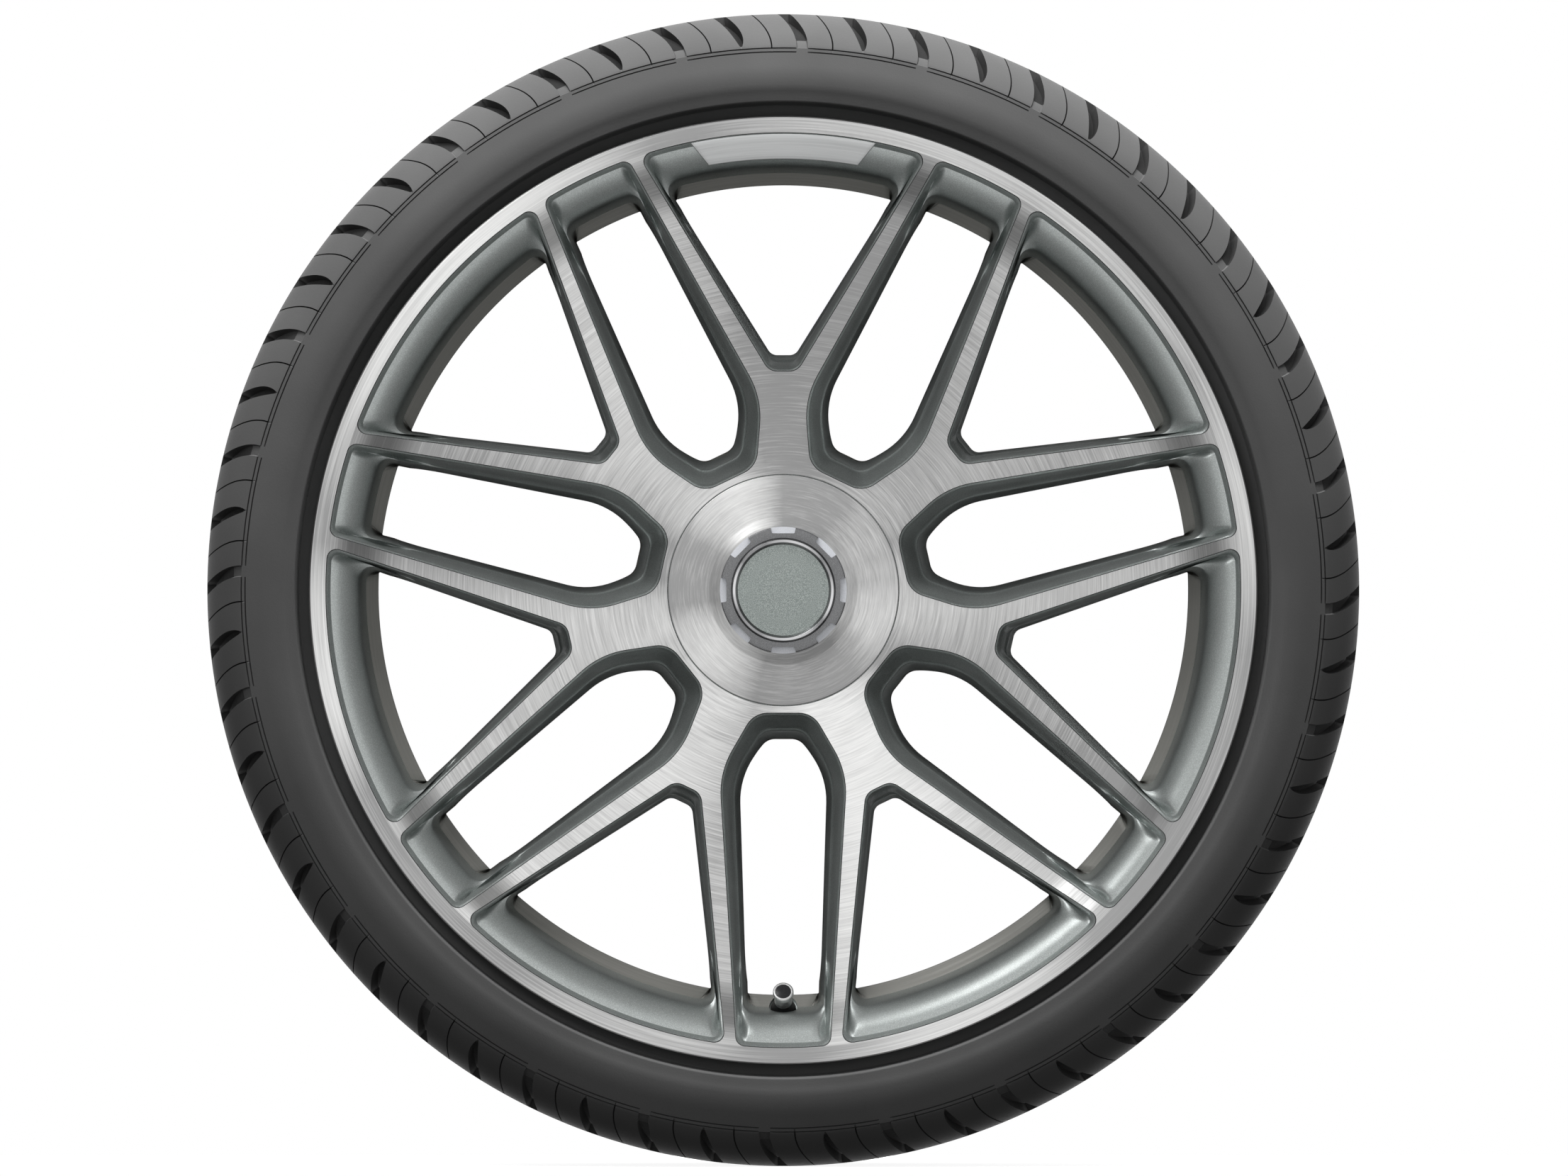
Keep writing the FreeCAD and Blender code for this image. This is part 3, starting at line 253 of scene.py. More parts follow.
def subtract(mesh: Mesh, cutter: Mesh,
             materials: Sequence[Material]) -> Mesh:
    """Mesh with the cutter taken out of it. The faces that the cutter leaves keep its material indices.

    Args:
        mesh: The body that is cut.
        cutter: The space that is taken out.
        materials: Materials in the order of both meshes' material indices.

    Returns:
        A new mesh. Both inputs are deleted.
    """
    for part in (mesh, cutter):
        give_materials(part, materials)
    body = bpy.data.objects.new("cut_body", mesh)
    tool = bpy.data.objects.new("cut_tool", cutter)
    for part in (body, tool):
        bpy.context.scene.collection.objects.link(part)
    modifier = body.modifiers.new("cut", "BOOLEAN")
    modifier.operation = "DIFFERENCE"
    modifier.solver = "EXACT"
    modifier.object = tool
    graph = bpy.context.evaluated_depsgraph_get()
    result = bpy.data.meshes.new_from_object(body.evaluated_get(graph), depsgraph=graph)
    for part in (body, tool):
        bpy.data.objects.remove(part)
    for old in (mesh, cutter):
        bpy.data.meshes.remove(old)
    return result


def place_piece(mesh: Mesh, name: str, body: str, materials: Sequence[Material],
                replaced: Sequence[str] = (), crease_deg: float = 35.0) -> Piece:
    """Object for a finished mesh, on its body.

    Args:
        mesh: The mesh, in metres.
        name: The piece's name.
        body: The body that it rides on.
        materials: Materials in the order of the mesh's material indices.
        replaced: Solids that the piece stands for.
        crease_deg: Edges that bend more than this stay sharp.

    Returns:
        The new object.
    """
    mesh.name = name
    give_materials(mesh, materials)
    mesh.shade_smooth()
    mesh.set_sharp_from_angle(angle=math.radians(crease_deg))
    piece = bpy.data.objects.new(name, mesh)
    bpy.context.scene.collection.objects.link(piece)
    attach(piece, body)
    if replaced:
        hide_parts(*replaced)
    LOG.info("%s: %d faces on %s", name, len(mesh.polygons), body)
    return piece


def turned_piece(corners: Sequence[Corner], name: str, body: str, material: Material,
                 replaced: str, steps: int, place: Matrix = Matrix(), chords: int = 5) -> Piece:
    """Piece turned from a closed section.

    Args:
        corners: The section's (radius, y) corners, the first and last one sharp.
        name: The piece's name.
        body: The body that it rides on.
        material: The piece's finish.
        replaced: The solid that it stands for.
        steps: Steps of the full turn.
        place: Where the turning axis stands.
        chords: Straight pieces in each rounding.

    Returns:
        The piece's object.
    """
    bm = bmesh.new()
    spin_section(bm, rounded(corners, chords), steps)
    bmesh.ops.transform(bm, matrix=place, verts=bm.verts[:])
    face_out(bm)
    return place_piece(plain_mesh(bm, name), name, body, [material], [replaced])


class NodeGraph:
    """Nodes of a material or a world, with short calls for those that are used often."""

    def __init__(self, tree: bpy.types.NodeTree) -> None:
        """Takes the tree that receives the nodes."""
        self.nodes = tree.nodes
        self.links = tree.links

    def add(self, kind: str, **settings: object) -> bpy.types.Node:
        """New node of a kind with its settings."""
        node = self.nodes.new(kind)
        for key, value in settings.items():
            setattr(node, key, value)
        return node

    def feed(self, socket: Socket, value: object) -> None:
        """Links a socket into another, or sets its value."""
        if isinstance(value, Socket):
            self.links.new(value, socket)
        else:
            socket.default_value = value

    def sum(self, operation: str, first: Number, second: Number = 0.0) -> Socket:
        """Result of a Math node."""
        node = self.add("ShaderNodeMath", operation=operation)
        self.feed(node.inputs[0], first)
        self.feed(node.inputs[1], second)
        return node.outputs[0]

    def vector(self, operation: str, first: object, second: object = grey(0.0)) -> bpy.types.Node:
        """Vector Math node."""
        node = self.add("ShaderNodeVectorMath", operation=operation)
        self.feed(node.inputs[0], first)
        self.feed(node.inputs[1], second)
        return node

    def place(self) -> Socket:
        """Object coordinates."""
        return self.add("ShaderNodeTexCoord").outputs["Object"]

    def noise(self, where: Socket, scale: float, detail: float = 2.0,
              roughness: float = 0.5) -> Socket:
        """Value of a Noise texture."""
        node = self.add("ShaderNodeTexNoise")
        self.feed(node.inputs["Vector"], where)
        self.feed(node.inputs["Scale"], scale)
        self.feed(node.inputs["Detail"], detail)
        self.feed(node.inputs["Roughness"], roughness)
        return node.outputs["Fac"]

    def between(self, value: Number, low: float, high: float, to_low: float = 0.0,
                to_high: float = 1.0) -> Socket:
        """Value mapped from one range to another and held inside it."""
        node = self.add("ShaderNodeMapRange", clamp=True)
        for index, number in enumerate((value, low, high, to_low, to_high)):
            self.feed(node.inputs[index], number)
        return node.outputs[0]

    def tint(self, share: Number, first: Colour, second: Colour) -> Socket:
        """Colour between two colours."""
        node = self.add("ShaderNodeMix", data_type="RGBA")
        self.feed(node.inputs["Factor"], share)
        self.feed(node.inputs[6], (*first, 1.0))
        self.feed(node.inputs[7], (*second, 1.0))
        return node.outputs[2]

    def bump(self, height: Socket, strength: float, distance: float) -> Socket:
        """Normal of a Bump node."""
        node = self.add("ShaderNodeBump")
        self.feed(node.inputs["Strength"], strength)
        self.feed(node.inputs["Distance"], distance)
        self.feed(node.inputs["Height"], height)
        return node.outputs["Normal"]


class ShaderTree(NodeGraph):
    """Nodes of one material with a Principled surface."""

    def __init__(self, name: str) -> None:
        """Starts the material."""
        self.material = bpy.data.materials.new(name)
        self.material.use_nodes = True
        super().__init__(self.material.node_tree)
        self.surface = self.nodes["Principled BSDF"]

    def set(self, **values: object) -> None:
        """Sets or links the surface's inputs, named with _ for spaces."""
        for key, value in values.items():
            if isinstance(value, tuple) and len(value) == 3:
                value = (*value, 1.0)
            self.feed(self.surface.inputs[key.replace("_", " ")], value)


@dataclass(frozen=True)
class PaintedHighlight:
    """One painted highlight: a bright sector painted into a turned face's colour where lamps would leave a
    reflection, between darker ones.

    Attributes:
        turn_deg: Middle of the sector, clockwise from the top.
        half_deg: Angle from its middle to where it has faded out.
        strength: Brightness that it adds, from 0 to 1.
    """

    turn_deg: float
    half_deg: float
    strength: float


@dataclass(frozen=True)
class TurnedMetal:
    """Metal turned on a lathe: fine circular lines, and painted highlights as bright sectors round the axle.
    Where highlights are listed, light is their colour and dark the colour between them.
    """

    name: str
    light: Colour
    dark: Colour
    painted_highlights: tuple[PaintedHighlight, ...] = ()
    roughness: float = 0.34
    anisotropy: float = 0.6
    lines_per_metre: float = 1100.0
    line_bump: float = 0.06
    line_share: float = 0.22
    metallic: float = 1.0

    LINES_ROUND = 3.0
    CLOUD_ROUND = 2.4
    CLOUDS_PER_METRE = 14.0
    CLOUD_TONE = (-0.08, 0.12)
    ROUGHNESS_SWING = 0.06

    def material(self) -> Material:
        """The finish as a material."""
        tree = ShaderTree(self.name)
        across = tree.vector("MULTIPLY", tree.place(), (1.0, 0.0, 1.0)).outputs["Vector"]
        outward = tree.vector("NORMALIZE", across).outputs["Vector"]
        radius = tree.vector("LENGTH", across).outputs["Value"]
        line_place = self.wrapped(tree, outward, radius, self.LINES_ROUND, self.lines_per_metre)
        lines = tree.noise(line_place, 1.0, detail=4.0, roughness=0.7)
        cloud = tree.noise(self.wrapped(tree, outward, radius, self.CLOUD_ROUND, self.CLOUDS_PER_METRE), 1.0)
        tone = tree.between(cloud, *WIDE_NOISE, *self.CLOUD_TONE)
        # Each listed sector adds a painted highlight to the tone, which also holds random clouds.
        for painted_sector in self.painted_highlights:
            turn = math.radians(painted_sector.turn_deg)
            middle = (math.sin(turn), 0.0, math.cos(turn))
            facing = tree.vector("DOT_PRODUCT", outward, middle).outputs["Value"]
            faded = math.cos(math.radians(painted_sector.half_deg))
            painted_brightening = tree.between(facing, faded, 1.0, 0.0, painted_sector.strength)
            tone = tree.sum("ADD", tone, painted_brightening)
        grain = tree.between(lines, *WIDE_NOISE, -self.line_share, self.line_share)
        share = tree.between(tree.sum("ADD", tone, grain), 0.0, 1.0)
        tree.set(Base_Color=tree.tint(share, self.dark, self.light), Metallic=self.metallic)
        swing = self.ROUGHNESS_SWING
        tree.set(Roughness=tree.between(lines, *WIDE_NOISE, self.roughness + swing, self.roughness - swing))
        tree.set(Anisotropic=self.anisotropy, Tangent=outward)
        tree.set(Normal=tree.bump(lines, self.line_bump, FINE_BUMP))
        return tree.material

    @staticmethod
    def wrapped(tree: ShaderTree, outward: Socket, radius: Socket,
                round_scale: float, radius_scale: float) -> Socket:
        """Texture place that runs round the axle without a seam and changes with the radius."""
        around = tree.vector("MULTIPLY", outward, (round_scale, 0.0, round_scale)).outputs["Vector"]
        ring = tree.add("ShaderNodeCombineXYZ")
        tree.feed(ring.inputs["Y"], tree.sum("MULTIPLY", radius, radius_scale))
        return tree.vector("ADD", around, ring.outputs["Vector"]).outputs["Vector"]


@dataclass(frozen=True)
class FlakePaint:
    """Metallic paint: a dark base with fine bright flakes under a clear coat."""

    name: str
    base: Colour
    flake: Colour
    metallic: float = 0.75
    roughness: float = 0.38
    flakes_per_metre: float = 2600.0
    flake_bump: float = 0.12
    coat: float = 0.35
    coat_roughness: float = 0.2

    FLAKES_PER_CLOUD = 90
    SPARKLE = (0.42, 0.72)
    SPARKLE_SHARE = 0.8
    CLOUD_SHARE = 0.2
    ROUGHNESS_SWING = 0.04

    def material(self) -> Material:
        """The finish as a material."""
        tree = ShaderTree(self.name)
        place = tree.place()
        grain = tree.noise(place, self.flakes_per_metre, detail=1.0)
        cloud = tree.noise(place, self.flakes_per_metre / self.FLAKES_PER_CLOUD)
        sparkle = tree.sum("MULTIPLY", tree.between(grain, *self.SPARKLE), self.SPARKLE_SHARE)
        share = tree.sum("ADD", sparkle, tree.sum("MULTIPLY", cloud, self.CLOUD_SHARE))
        tree.set(Base_Color=tree.tint(share, self.base, self.flake), Metallic=self.metallic)
        swing = self.ROUGHNESS_SWING
        tree.set(Roughness=tree.between(cloud, *WIDE_NOISE, self.roughness - swing, self.roughness + swing))
        tree.set(Coat_Weight=self.coat, Coat_Roughness=self.coat_roughness)
        tree.set(Normal=tree.bump(grain, self.flake_bump, FINE_BUMP))
        return tree.material


@dataclass(frozen=True)
class GrainedFinish:
    """Surface with a fine grain that changes its tone, its gloss and its height.

    Attributes:
        name: The material's name.
        dark: Darkest colour.
        light: Lightest colour.
        roughness: Middle roughness.
        swing: How far the grain moves the roughness to each side.
        grain_per_metre: Grains along a metre.
        detail: Octaves of the grain.
        grain_roughness: Weight of the finer octaves.
        bump: Strength of the grain's height.
        bump_height: Height of the grain in metres.
        tones_per_metre: Clouds of tone along a metre, or 0 where the grain sets the tone.
        metallic: 1 on metal and 0 on everything else.
        specular: Strength of the reflection that isn't metallic.
    """

    name: str
    dark: Colour
    light: Colour
    roughness: float
    swing: float
    grain_per_metre: float
    detail: float
    grain_roughness: float
    bump: float
    bump_height: float = FINE_BUMP
    tones_per_metre: float = 0.0
    metallic: float = 0.0
    specular: float = 0.5

    def material(self) -> Material:
        """The finish as a material."""
        tree = ShaderTree(self.name)
        place = tree.place()
        grain = tree.noise(place, self.grain_per_metre, self.detail, self.grain_roughness)
        tone = tree.noise(place, self.tones_per_metre, self.detail) if self.tones_per_metre else grain
        tree.set(Base_Color=tree.tint(tree.between(tone, *NARROW_NOISE), self.dark, self.light))
        tree.set(Metallic=self.metallic, Specular_IOR_Level=self.specular)
        rough = (self.roughness - self.swing, self.roughness + self.swing)
        tree.set(Roughness=tree.between(grain, *WIDE_NOISE, *rough))
        tree.set(Normal=tree.bump(grain, self.bump, self.bump_height))
        return tree.material


def rubber(name: str, dark: float, light: float, roughness: float = 0.6, specular: float = 0.5) -> Material:
    """Matte rubber with a fine skin and slightly uneven tone."""
    return GrainedFinish(name, grey(dark), grey(light), roughness, swing=0.06, grain_per_metre=900.0,
                         detail=3.0, grain_roughness=0.6, bump=0.18, bump_height=SKIN_BUMP,
                         tones_per_metre=14.0, specular=specular).material()


def clean_metal(name: str, light: Colour, dark: Colour, roughness: float) -> Material:
    """Plated or turned small metal with faint marks."""
    return GrainedFinish(name, dark, light, roughness, swing=roughness * 0.2, grain_per_metre=300.0,
                         detail=4.0, grain_roughness=0.65, bump=0.02, metallic=1.0).material()


def moulded_plastic(name: str, dark: Colour, light: Colour, roughness: float = 0.5) -> Material:
    """Dark moulded plastic with a fine eroded grain."""
    return GrainedFinish(name, dark, light, roughness, swing=0.08, grain_per_metre=2200.0,
                         detail=2.0, grain_roughness=0.5, bump=0.12).material()


class Finishes:
    """Every finish of the wheel, made once."""

    def __init__(self) -> None:
        """Makes the materials."""
        # Painted highlights: bright sectors painted into the turned face, the lip, the chrome ring and the
        # cover, where lamps' reflections would lie.
        face = (PaintedHighlight(45, 28, 0.3), PaintedHighlight(92, 26, 0.45), PaintedHighlight(160, 34, 0.85), PaintedHighlight(215, 30, 0.72),
                PaintedHighlight(256, 20, 0.6), PaintedHighlight(322, 30, 0.6))
        lip = (PaintedHighlight(28, 40, 0.5), PaintedHighlight(80, 18, 0.6), PaintedHighlight(158, 20, 0.65), PaintedHighlight(200, 16, 0.4),
               PaintedHighlight(260, 16, 0.9), PaintedHighlight(312, 32, 0.9))
        chrome_painted_glints = (PaintedHighlight(15, 36, 0.6), PaintedHighlight(100, 28, 0.8), PaintedHighlight(170, 36, 0.6), PaintedHighlight(275, 30, 0.7))
        disc = (PaintedHighlight(105, 34, 0.6), PaintedHighlight(228, 34, 0.8), PaintedHighlight(330, 30, 0.8), PaintedHighlight(60, 24, 0.3))
        # turned_face and turned_lip are the same turned metal with different painted highlights.
        self.turned = TurnedMetal("turned_face", (0.9, 0.9, 0.89), grey(0.36), face).material()
        self.lip = TurnedMetal("turned_lip", (0.9, 0.9, 0.89), grey(0.38), lip).material()
        self.cover = TurnedMetal("turned_cover", (0.9, 0.9, 0.89), grey(0.4), disc,
                                 metallic=0.7).material()
        self.paint = FlakePaint("titanium_paint", (0.4, 0.427, 0.418), (0.66, 0.7, 0.688), metallic=0.92,
                                roughness=0.42, flake_bump=0.06).material()
        self.band = TurnedMetal("barrel_band", (0.34, 0.336, 0.315), (0.23, 0.228, 0.212), metallic=0.6,
                                roughness=0.5).material()
        # Near-black paint on the thin line along each window's turned edge: painted shade.
        self.edge = FlakePaint("painted_edge_shade", (0.012, 0.013, 0.013), (0.03, 0.031, 0.031),
                               metallic=0.2).material()
        self.tyre = rubber("tyre_skin", 0.08, 0.092, specular=0.2)
        # Darker rubber for deep grooves and the thin edge lines: painted shade in the recesses.
        self.groove = rubber("tyre_groove_shade", 0.016, 0.024, roughness=0.8)
        self.rubber = rubber("black_rubber", 0.012, 0.02, roughness=0.5)
        # The lip plate carries a painted highlight at its top.
        self.plate = TurnedMetal("lip_plate", (0.8, 0.81, 0.81), (0.5, 0.51, 0.51),
                                 (PaintedHighlight(0, 40, 0.5),), roughness=0.36).material()
        # Chrome whose reflections are painted glints.
        self.chrome = TurnedMetal("bright_chrome", (0.72, 0.72, 0.73), (0.22, 0.22, 0.225), chrome_painted_glints,
                                  roughness=0.1, anisotropy=0.0, line_bump=0.01, line_share=0.04).material()
        self.ring = FlakePaint("ring_grey", (0.16, 0.162, 0.167), (0.3, 0.304, 0.31), roughness=0.4).material()
        self.notch = FlakePaint("notch_floor", (0.74, 0.76, 0.81), (0.86, 0.88, 0.92), metallic=0.3).material()
        self.badge = FlakePaint("badge_paint", (0.2, 0.235, 0.222), (0.5, 0.545, 0.525), flake_bump=0.3,
                                coat=0.8, coat_roughness=0.05).material()
        self.satin = clean_metal("satin_cap", (0.86, 0.86, 0.85), grey(0.74), 0.42)
        self.inlay = moulded_plastic("black_inlay", (0.008, 0.008, 0.009), (0.012, 0.012, 0.013), 0.2)
        self.plastic = moulded_plastic("black_plastic", (0.022, 0.022, 0.023), (0.032, 0.032, 0.034))
        self.brass = clean_metal("turned_brass", (0.66, 0.52, 0.24), (0.52, 0.4, 0.17), 0.28)
        self.steel = clean_metal("spring_wire", (0.55, 0.55, 0.56), (0.42, 0.42, 0.43), 0.25)


class RimSurface(Enum):
    """Material indices of the rim's mesh."""

    TURNED = 0
    PAINTED = 1
    # EDGE: near-black painted shade along each window's turned edge.
    EDGE = 2
    BAND = 3
    # LIP is the lip's turned metal with its own painted highlights.
    LIP = 4


@dataclass(frozen=True)
class WindowLevel:
    """One outline of a window, somewhere between its turned edge and the back of the rim.

    Attributes:
        inset: How far the sides stand inside the turned edge.
        share: Share of the flank's width that is added to the inset.
        depth: How far the sides are below the turned face.
        lip_r: Radius of the outer end.
        lip_depth: How far the outer end is below the lip.
        corner: Radius of the corners at the outer end.
    """

    inset: float
    share: float
    depth: float
    lip_r: float
    lip_depth: float
    corner: float

    def towards(self, other: "WindowLevel", share: float) -> "WindowLevel":
        """Level between this one and another."""
        mine = (self.inset, self.share, self.depth, self.lip_r, self.lip_depth, self.corner)
        theirs = (other.inset, other.share, other.depth, other.lip_r, other.lip_depth, other.corner)
        return WindowLevel(*[mix(a, b, share) for a, b in zip(mine, theirs)])


@dataclass(frozen=True)
class Window:
    """Outline of one window on the turned face, at the top of the wheel, and the width of its flanks.

    Attributes:
        floor_r: Height of the flat inner end.
        floor_flank: Width of the flank along the inner end.
        stations: (half width, height, flank, corner radius) from the inner end's corner to the lip.
    """

    floor_r: float
    floor_flank: float
    stations: tuple[tuple[float, float, float, float], ...]

    FLOOR_CHORDS = 3
    CORNER_CHORDS = 8
    TAPER_CHORDS = 6
    SIDE_CHORDS = 30
    LIP_CORNER_CHORDS = 8
    CORNER_TIGHTENING = 0.4
    LEAST_CORNER = 2.0
    LIP_CHORD = 5.5

    def side_line(self, index: int, level: WindowLevel) -> tuple[Vector, Vector]:
        """Two points on one side's line at a level."""
        start, end = self.stations[index], self.stations[index + 1]
        along = (Vector(end[:2]) - Vector(start[:2])).normalized()
        inward = Vector((-along.y, along.x))
        first = Vector(start[:2]) + inward * (level.inset + level.share * start[2])
        second = Vector(end[:2]) + inward * (level.inset + level.share * end[2])
        return first, second

    @staticmethod
    def crossing(first: tuple[Vector, Vector], second: tuple[Vector, Vector]) -> Vector:
        """Point where two lines cross."""
        along = first[1] - first[0]
        other = second[1] - second[0]
        gap = second[0] - first[0]
        reach = (gap.x * other.y - gap.y * other.x) / (along.x * other.y - along.y * other.x)
        return first[0] + along * reach

    @staticmethod
    def lip_corner(start: Vector, end: Vector, level: WindowLevel, chords: int) -> Section:
        """Arc that leads from a side into the circle of the outer end."""
        along = (end - start).normalized()
        centre = start + Vector((-along.y, along.x)) * level.corner
        ahead = centre.dot(along)
        beside = centre.length_squared - (level.lip_r - level.corner) ** 2
        centre = centre + along * (math.sqrt(ahead * ahead - beside) - ahead)
        first = Vector((along.y, -along.x)) * level.corner
        last = centre.normalized() * level.corner
        turn = math.atan2(first.x * last.y - first.y * last.x, first.dot(last))
        return [tuple(centre + Matrix.Rotation(turn * step / chords, 2) @ first) for step in range(chords + 1)]

    def half_outline(self, level: WindowLevel) -> list[tuple[float, float, float]]:
        """Right half of the outline at a level.

        Args:
            level: The level.

        Returns:
            (half width, height, lip share) from the middle of the inner end to the middle of the lip. The
            lip share runs from 0 on the sides to 1 on the outer end.
        """
        floor = self.floor_r + level.inset + level.share * self.floor_flank
        lines = [(Vector((-1.0, floor)), Vector((1.0, floor)))]
        lines += [self.side_line(index, level) for index in range(len(self.stations) - 1)]
        tips = [self.crossing(first, second) for first, second in zip(lines, lines[1:])]
        chain = [Vector((0.0, floor)), *tips, lines[-1][1]]
        points: Section = [(0.0, floor)]
        chords = self.FLOOR_CHORDS
        for index, station in enumerate(self.stations[:-1]):
            shrink = self.CORNER_TIGHTENING * (level.inset + level.share * station[2])
            radius = max(self.LEAST_CORNER, station[3] - shrink)
            arc = corner_points(chain[index], chain[index + 1], chain[index + 2], radius, self.CORNER_CHORDS)
            points += self.run(points[-1], arc[0], chords) + arc[1:]
            chords = self.TAPER_CHORDS if index + 2 < len(self.stations) - 1 else self.SIDE_CHORDS
        turn = self.lip_corner(tips[-1], lines[-1][1], level, self.LIP_CORNER_CHORDS)
        points += self.run(points[-1], turn[0], self.SIDE_CHORDS)
        outline = [(u, v, 0.0) for u, v in points]
        for step, (u, v) in enumerate(turn[1:], start=1):
            outline.append((u, v, smooth_step(step / self.LIP_CORNER_CHORDS)))
        angle = math.atan2(turn[-1][0], turn[-1][1])
        arc_chords = self.lip_chords()
        for step in range(1, arc_chords + 1):
            at = angle * (1 - step / arc_chords)
            outline.append((level.lip_r * math.sin(at), level.lip_r * math.cos(at), 1.0))
        return outline

    def lip_chords(self) -> int:
        """Straight pieces in half of the outer end's arc."""
        return max(3, round(self.stations[-1][0] / self.LIP_CHORD))

    @staticmethod
    def run(start: Point, end: Point, chords: int) -> Section:
        """Points of a straight run after its start."""
        return [(mix(start[0], end[0], step / chords), mix(start[1], end[1], step / chords))
                for step in range(1, chords + 1)]

    def outline(self, level: WindowLevel) -> list[tuple[float, float, float]]:
        """Whole outline at a level, as half_outline gives it, clockwise from the inner end."""
        half = self.half_outline(level)
        mirrored = [(-u, v, share) for u, v, share in half[-2:0:-1]]
        return half + mirrored


@dataclass
class ForgedRim:
    """Rim in one piece: turned front, painted windows, barrel and hub."""

    flange_r: float
    lip_y: float
    inboard_y: float
    spokes: int = 7
    cover_seat_r: float = 70.4
    cover_floor_y: float = -94.0
    cap_bore_r: float = 36.0
    centre_bore_r: float = 33.3
    centre_bore_y: float = -62.0
    pad_y: float = -35.0
    hub_y: float = -100.0
    lip_inner_r: float = 277.0
    barrel_r: float = 245.5
    barrel_inner_r: float = 262.9
    bolt_circle_r: float = 56.0
    bolt_hole_r: float = 7.5
    bolt_pocket_r: float = 13.0
    bolts: int = 5
    bolt_seat_height: float = 10.0
    ball_seat_height: float = 6.6
    ball_middle: Point = (10.6, 3.9)
    valve_pocket_r: float = 8.65
    valve_hole_r: float = 5.75
    steps: int = 336
    front: Section = field(init=False)

    SLOT = Window(74.2, 15.2, (
        (17.9, 74.2, 15.2, 15.0), (38.9, 110.34, 12.4, 52.0), (28.7, 275.5, 7.2, 0.0)))
    FORK = Window(132.3, 10.3, ((8.6, 132.3, 6.7, 9.0), (87.7, 262.75, 4.4, 0.0)))
    CLEAR = WindowLevel(-1.2, 0.0, -3.0, 278.0, -3.0, 6.0)
    EDGE = WindowLevel(0.0, 0.0, 0.0, 277.0, 0.0, 6.0)
    LINE = WindowLevel(0.35, 0.0, 0.9, 276.6, 0.9, 5.8)
    BEAD = (
        WindowLevel(0.75, 0.0, 1.3, 276.1, 1.4, 5.6),
        WindowLevel(1.25, 0.0, 1.7, 275.5, 2.0, 5.4),
        WindowLevel(1.7, 0.0, 2.7, 274.8, 3.2, 5.2),
    )
    FLANK = (
        WindowLevel(1.4, 0.17, 6.0, 273.9, 4.6, 5.0),
        WindowLevel(1.0, 0.33, 9.5, 272.2, 4.8, 4.8),
        WindowLevel(0.5, 0.47, 12.4, 269.2, 5.4, 5.0),
        WindowLevel(0.3, 0.53, 13.6, 266.0, 6.9, 5.5),
        WindowLevel(0.2, 0.58, 14.6, 262.4, 9.5, 6.2),
        WindowLevel(0.0, 0.64, 15.5, 259.4, 12.8, 7.0),
        WindowLevel(0.0, 0.70, 16.4, 257.4, 15.9, 8.0),
        WindowLevel(0.0, 0.75, 18.2, 256.2, 19.4, 8.0),
    )
    WALL = (
        WindowLevel(0.0, 0.93, 31.0, 253.6, 33.4, 7.0),
        WindowLevel(0.0, 1.0, 38.0, 252.6, 36.8, 7.0),
        WindowLevel(0.0, 1.12, 52.0, 245.3, 40.0, 0.8),
    )
    FLANK_PARTS = 2
    FRONT_CLEARANCE = 5.0
    ON_FRONT = 0.25
    VALVE_HOLE_REACH = 20.0
    VALVE_POCKET_REACH = 30.0
    BACK_Y = -30.0

    def __post_init__(self) -> None:
        """Works out the turned front from its corners."""
        self.front = rounded([
            (self.cover_seat_r, self.hub_y),
            (75.0, self.hub_y),
            (160.0, -108.0),
            (245.0, -116.0, 40.0),
            (268.0, -131.65, 25.0),
            (self.lip_inner_r, -132.65),
            (self.flange_r - 0.7, self.lip_y, 0.5),
            (self.flange_r, self.lip_y + 0.7),
        ], chords=8)

    def front_y(self, radius: float) -> float:
        """Height of the turned front at a radius."""
        if radius <= self.front[0][0]:
            return self.front[0][1]
        for (r0, y0), (r1, y1) in zip(self.front, self.front[1:]):
            if radius <= r1:
                return mix(y0, y1, (radius - r0) / (r1 - r0))
        return self.front[-1][1]

    def section(self) -> Section:
        """Closed section of the rim before its windows are cut."""
        back = rounded([
            (self.flange_r, self.lip_y + 9.5),
            (279.8, -120.65),
            (272.9, -120.65),
            (268.8, -116.8),
            (267.4, -101.1),
            (268.6, -98.1),
            (250.0, -74.5),
            (250.0, -46.5),
            (267.4, -14.5),
            (267.4, 95.1),
            (268.6, 98.1),
            (267.4, 101.1),
            (268.8, 116.8),
            (272.9, 120.65),
            (279.8, 120.65),
            (self.flange_r, 123.15),
            (self.flange_r, self.inboard_y, 2.5),
            (279.8, self.inboard_y, 3.0),
            (self.barrel_inner_r, 110.9, 20.0),
            (self.barrel_inner_r, -14.5, 40.0),
            (self.barrel_r, -46.5, 40.0),
            (self.barrel_r, -69.0, 8.0),
            (235.5, -79.0, 8.0),
            (98.0, -64.2, 8.0),
            (78.0, self.pad_y - 4.0, 3.0),
            (74.0, self.pad_y, 1.5),
            (self.centre_bore_r + 1.5, self.pad_y),
            (self.centre_bore_r, self.pad_y - 1.5),
            (self.centre_bore_r, self.centre_bore_y),
            (self.cap_bore_r, self.centre_bore_y),
            (self.cap_bore_r, self.cover_floor_y),
            (self.cover_seat_r, self.cover_floor_y),
        ])
        return self.front + back

    def blank(self) -> Mesh:
        """Turned body before its windows are cut."""
        bm = bmesh.new()
        spin_section(bm, self.section(), self.steps)
        for face in bm.faces:
            middle = face.calc_center_median()
            radius = math.hypot(middle.x, middle.z)
            on_front = radius > self.cover_seat_r and abs(middle.y - self.front_y(radius)) < self.ON_FRONT
            surface = RimSurface.PAINTED
            if on_front:
                surface = RimSurface.LIP if radius > self.lip_inner_r else RimSurface.TURNED
            face.material_index = surface.value
        return plain_mesh(bm, "rim_blank")

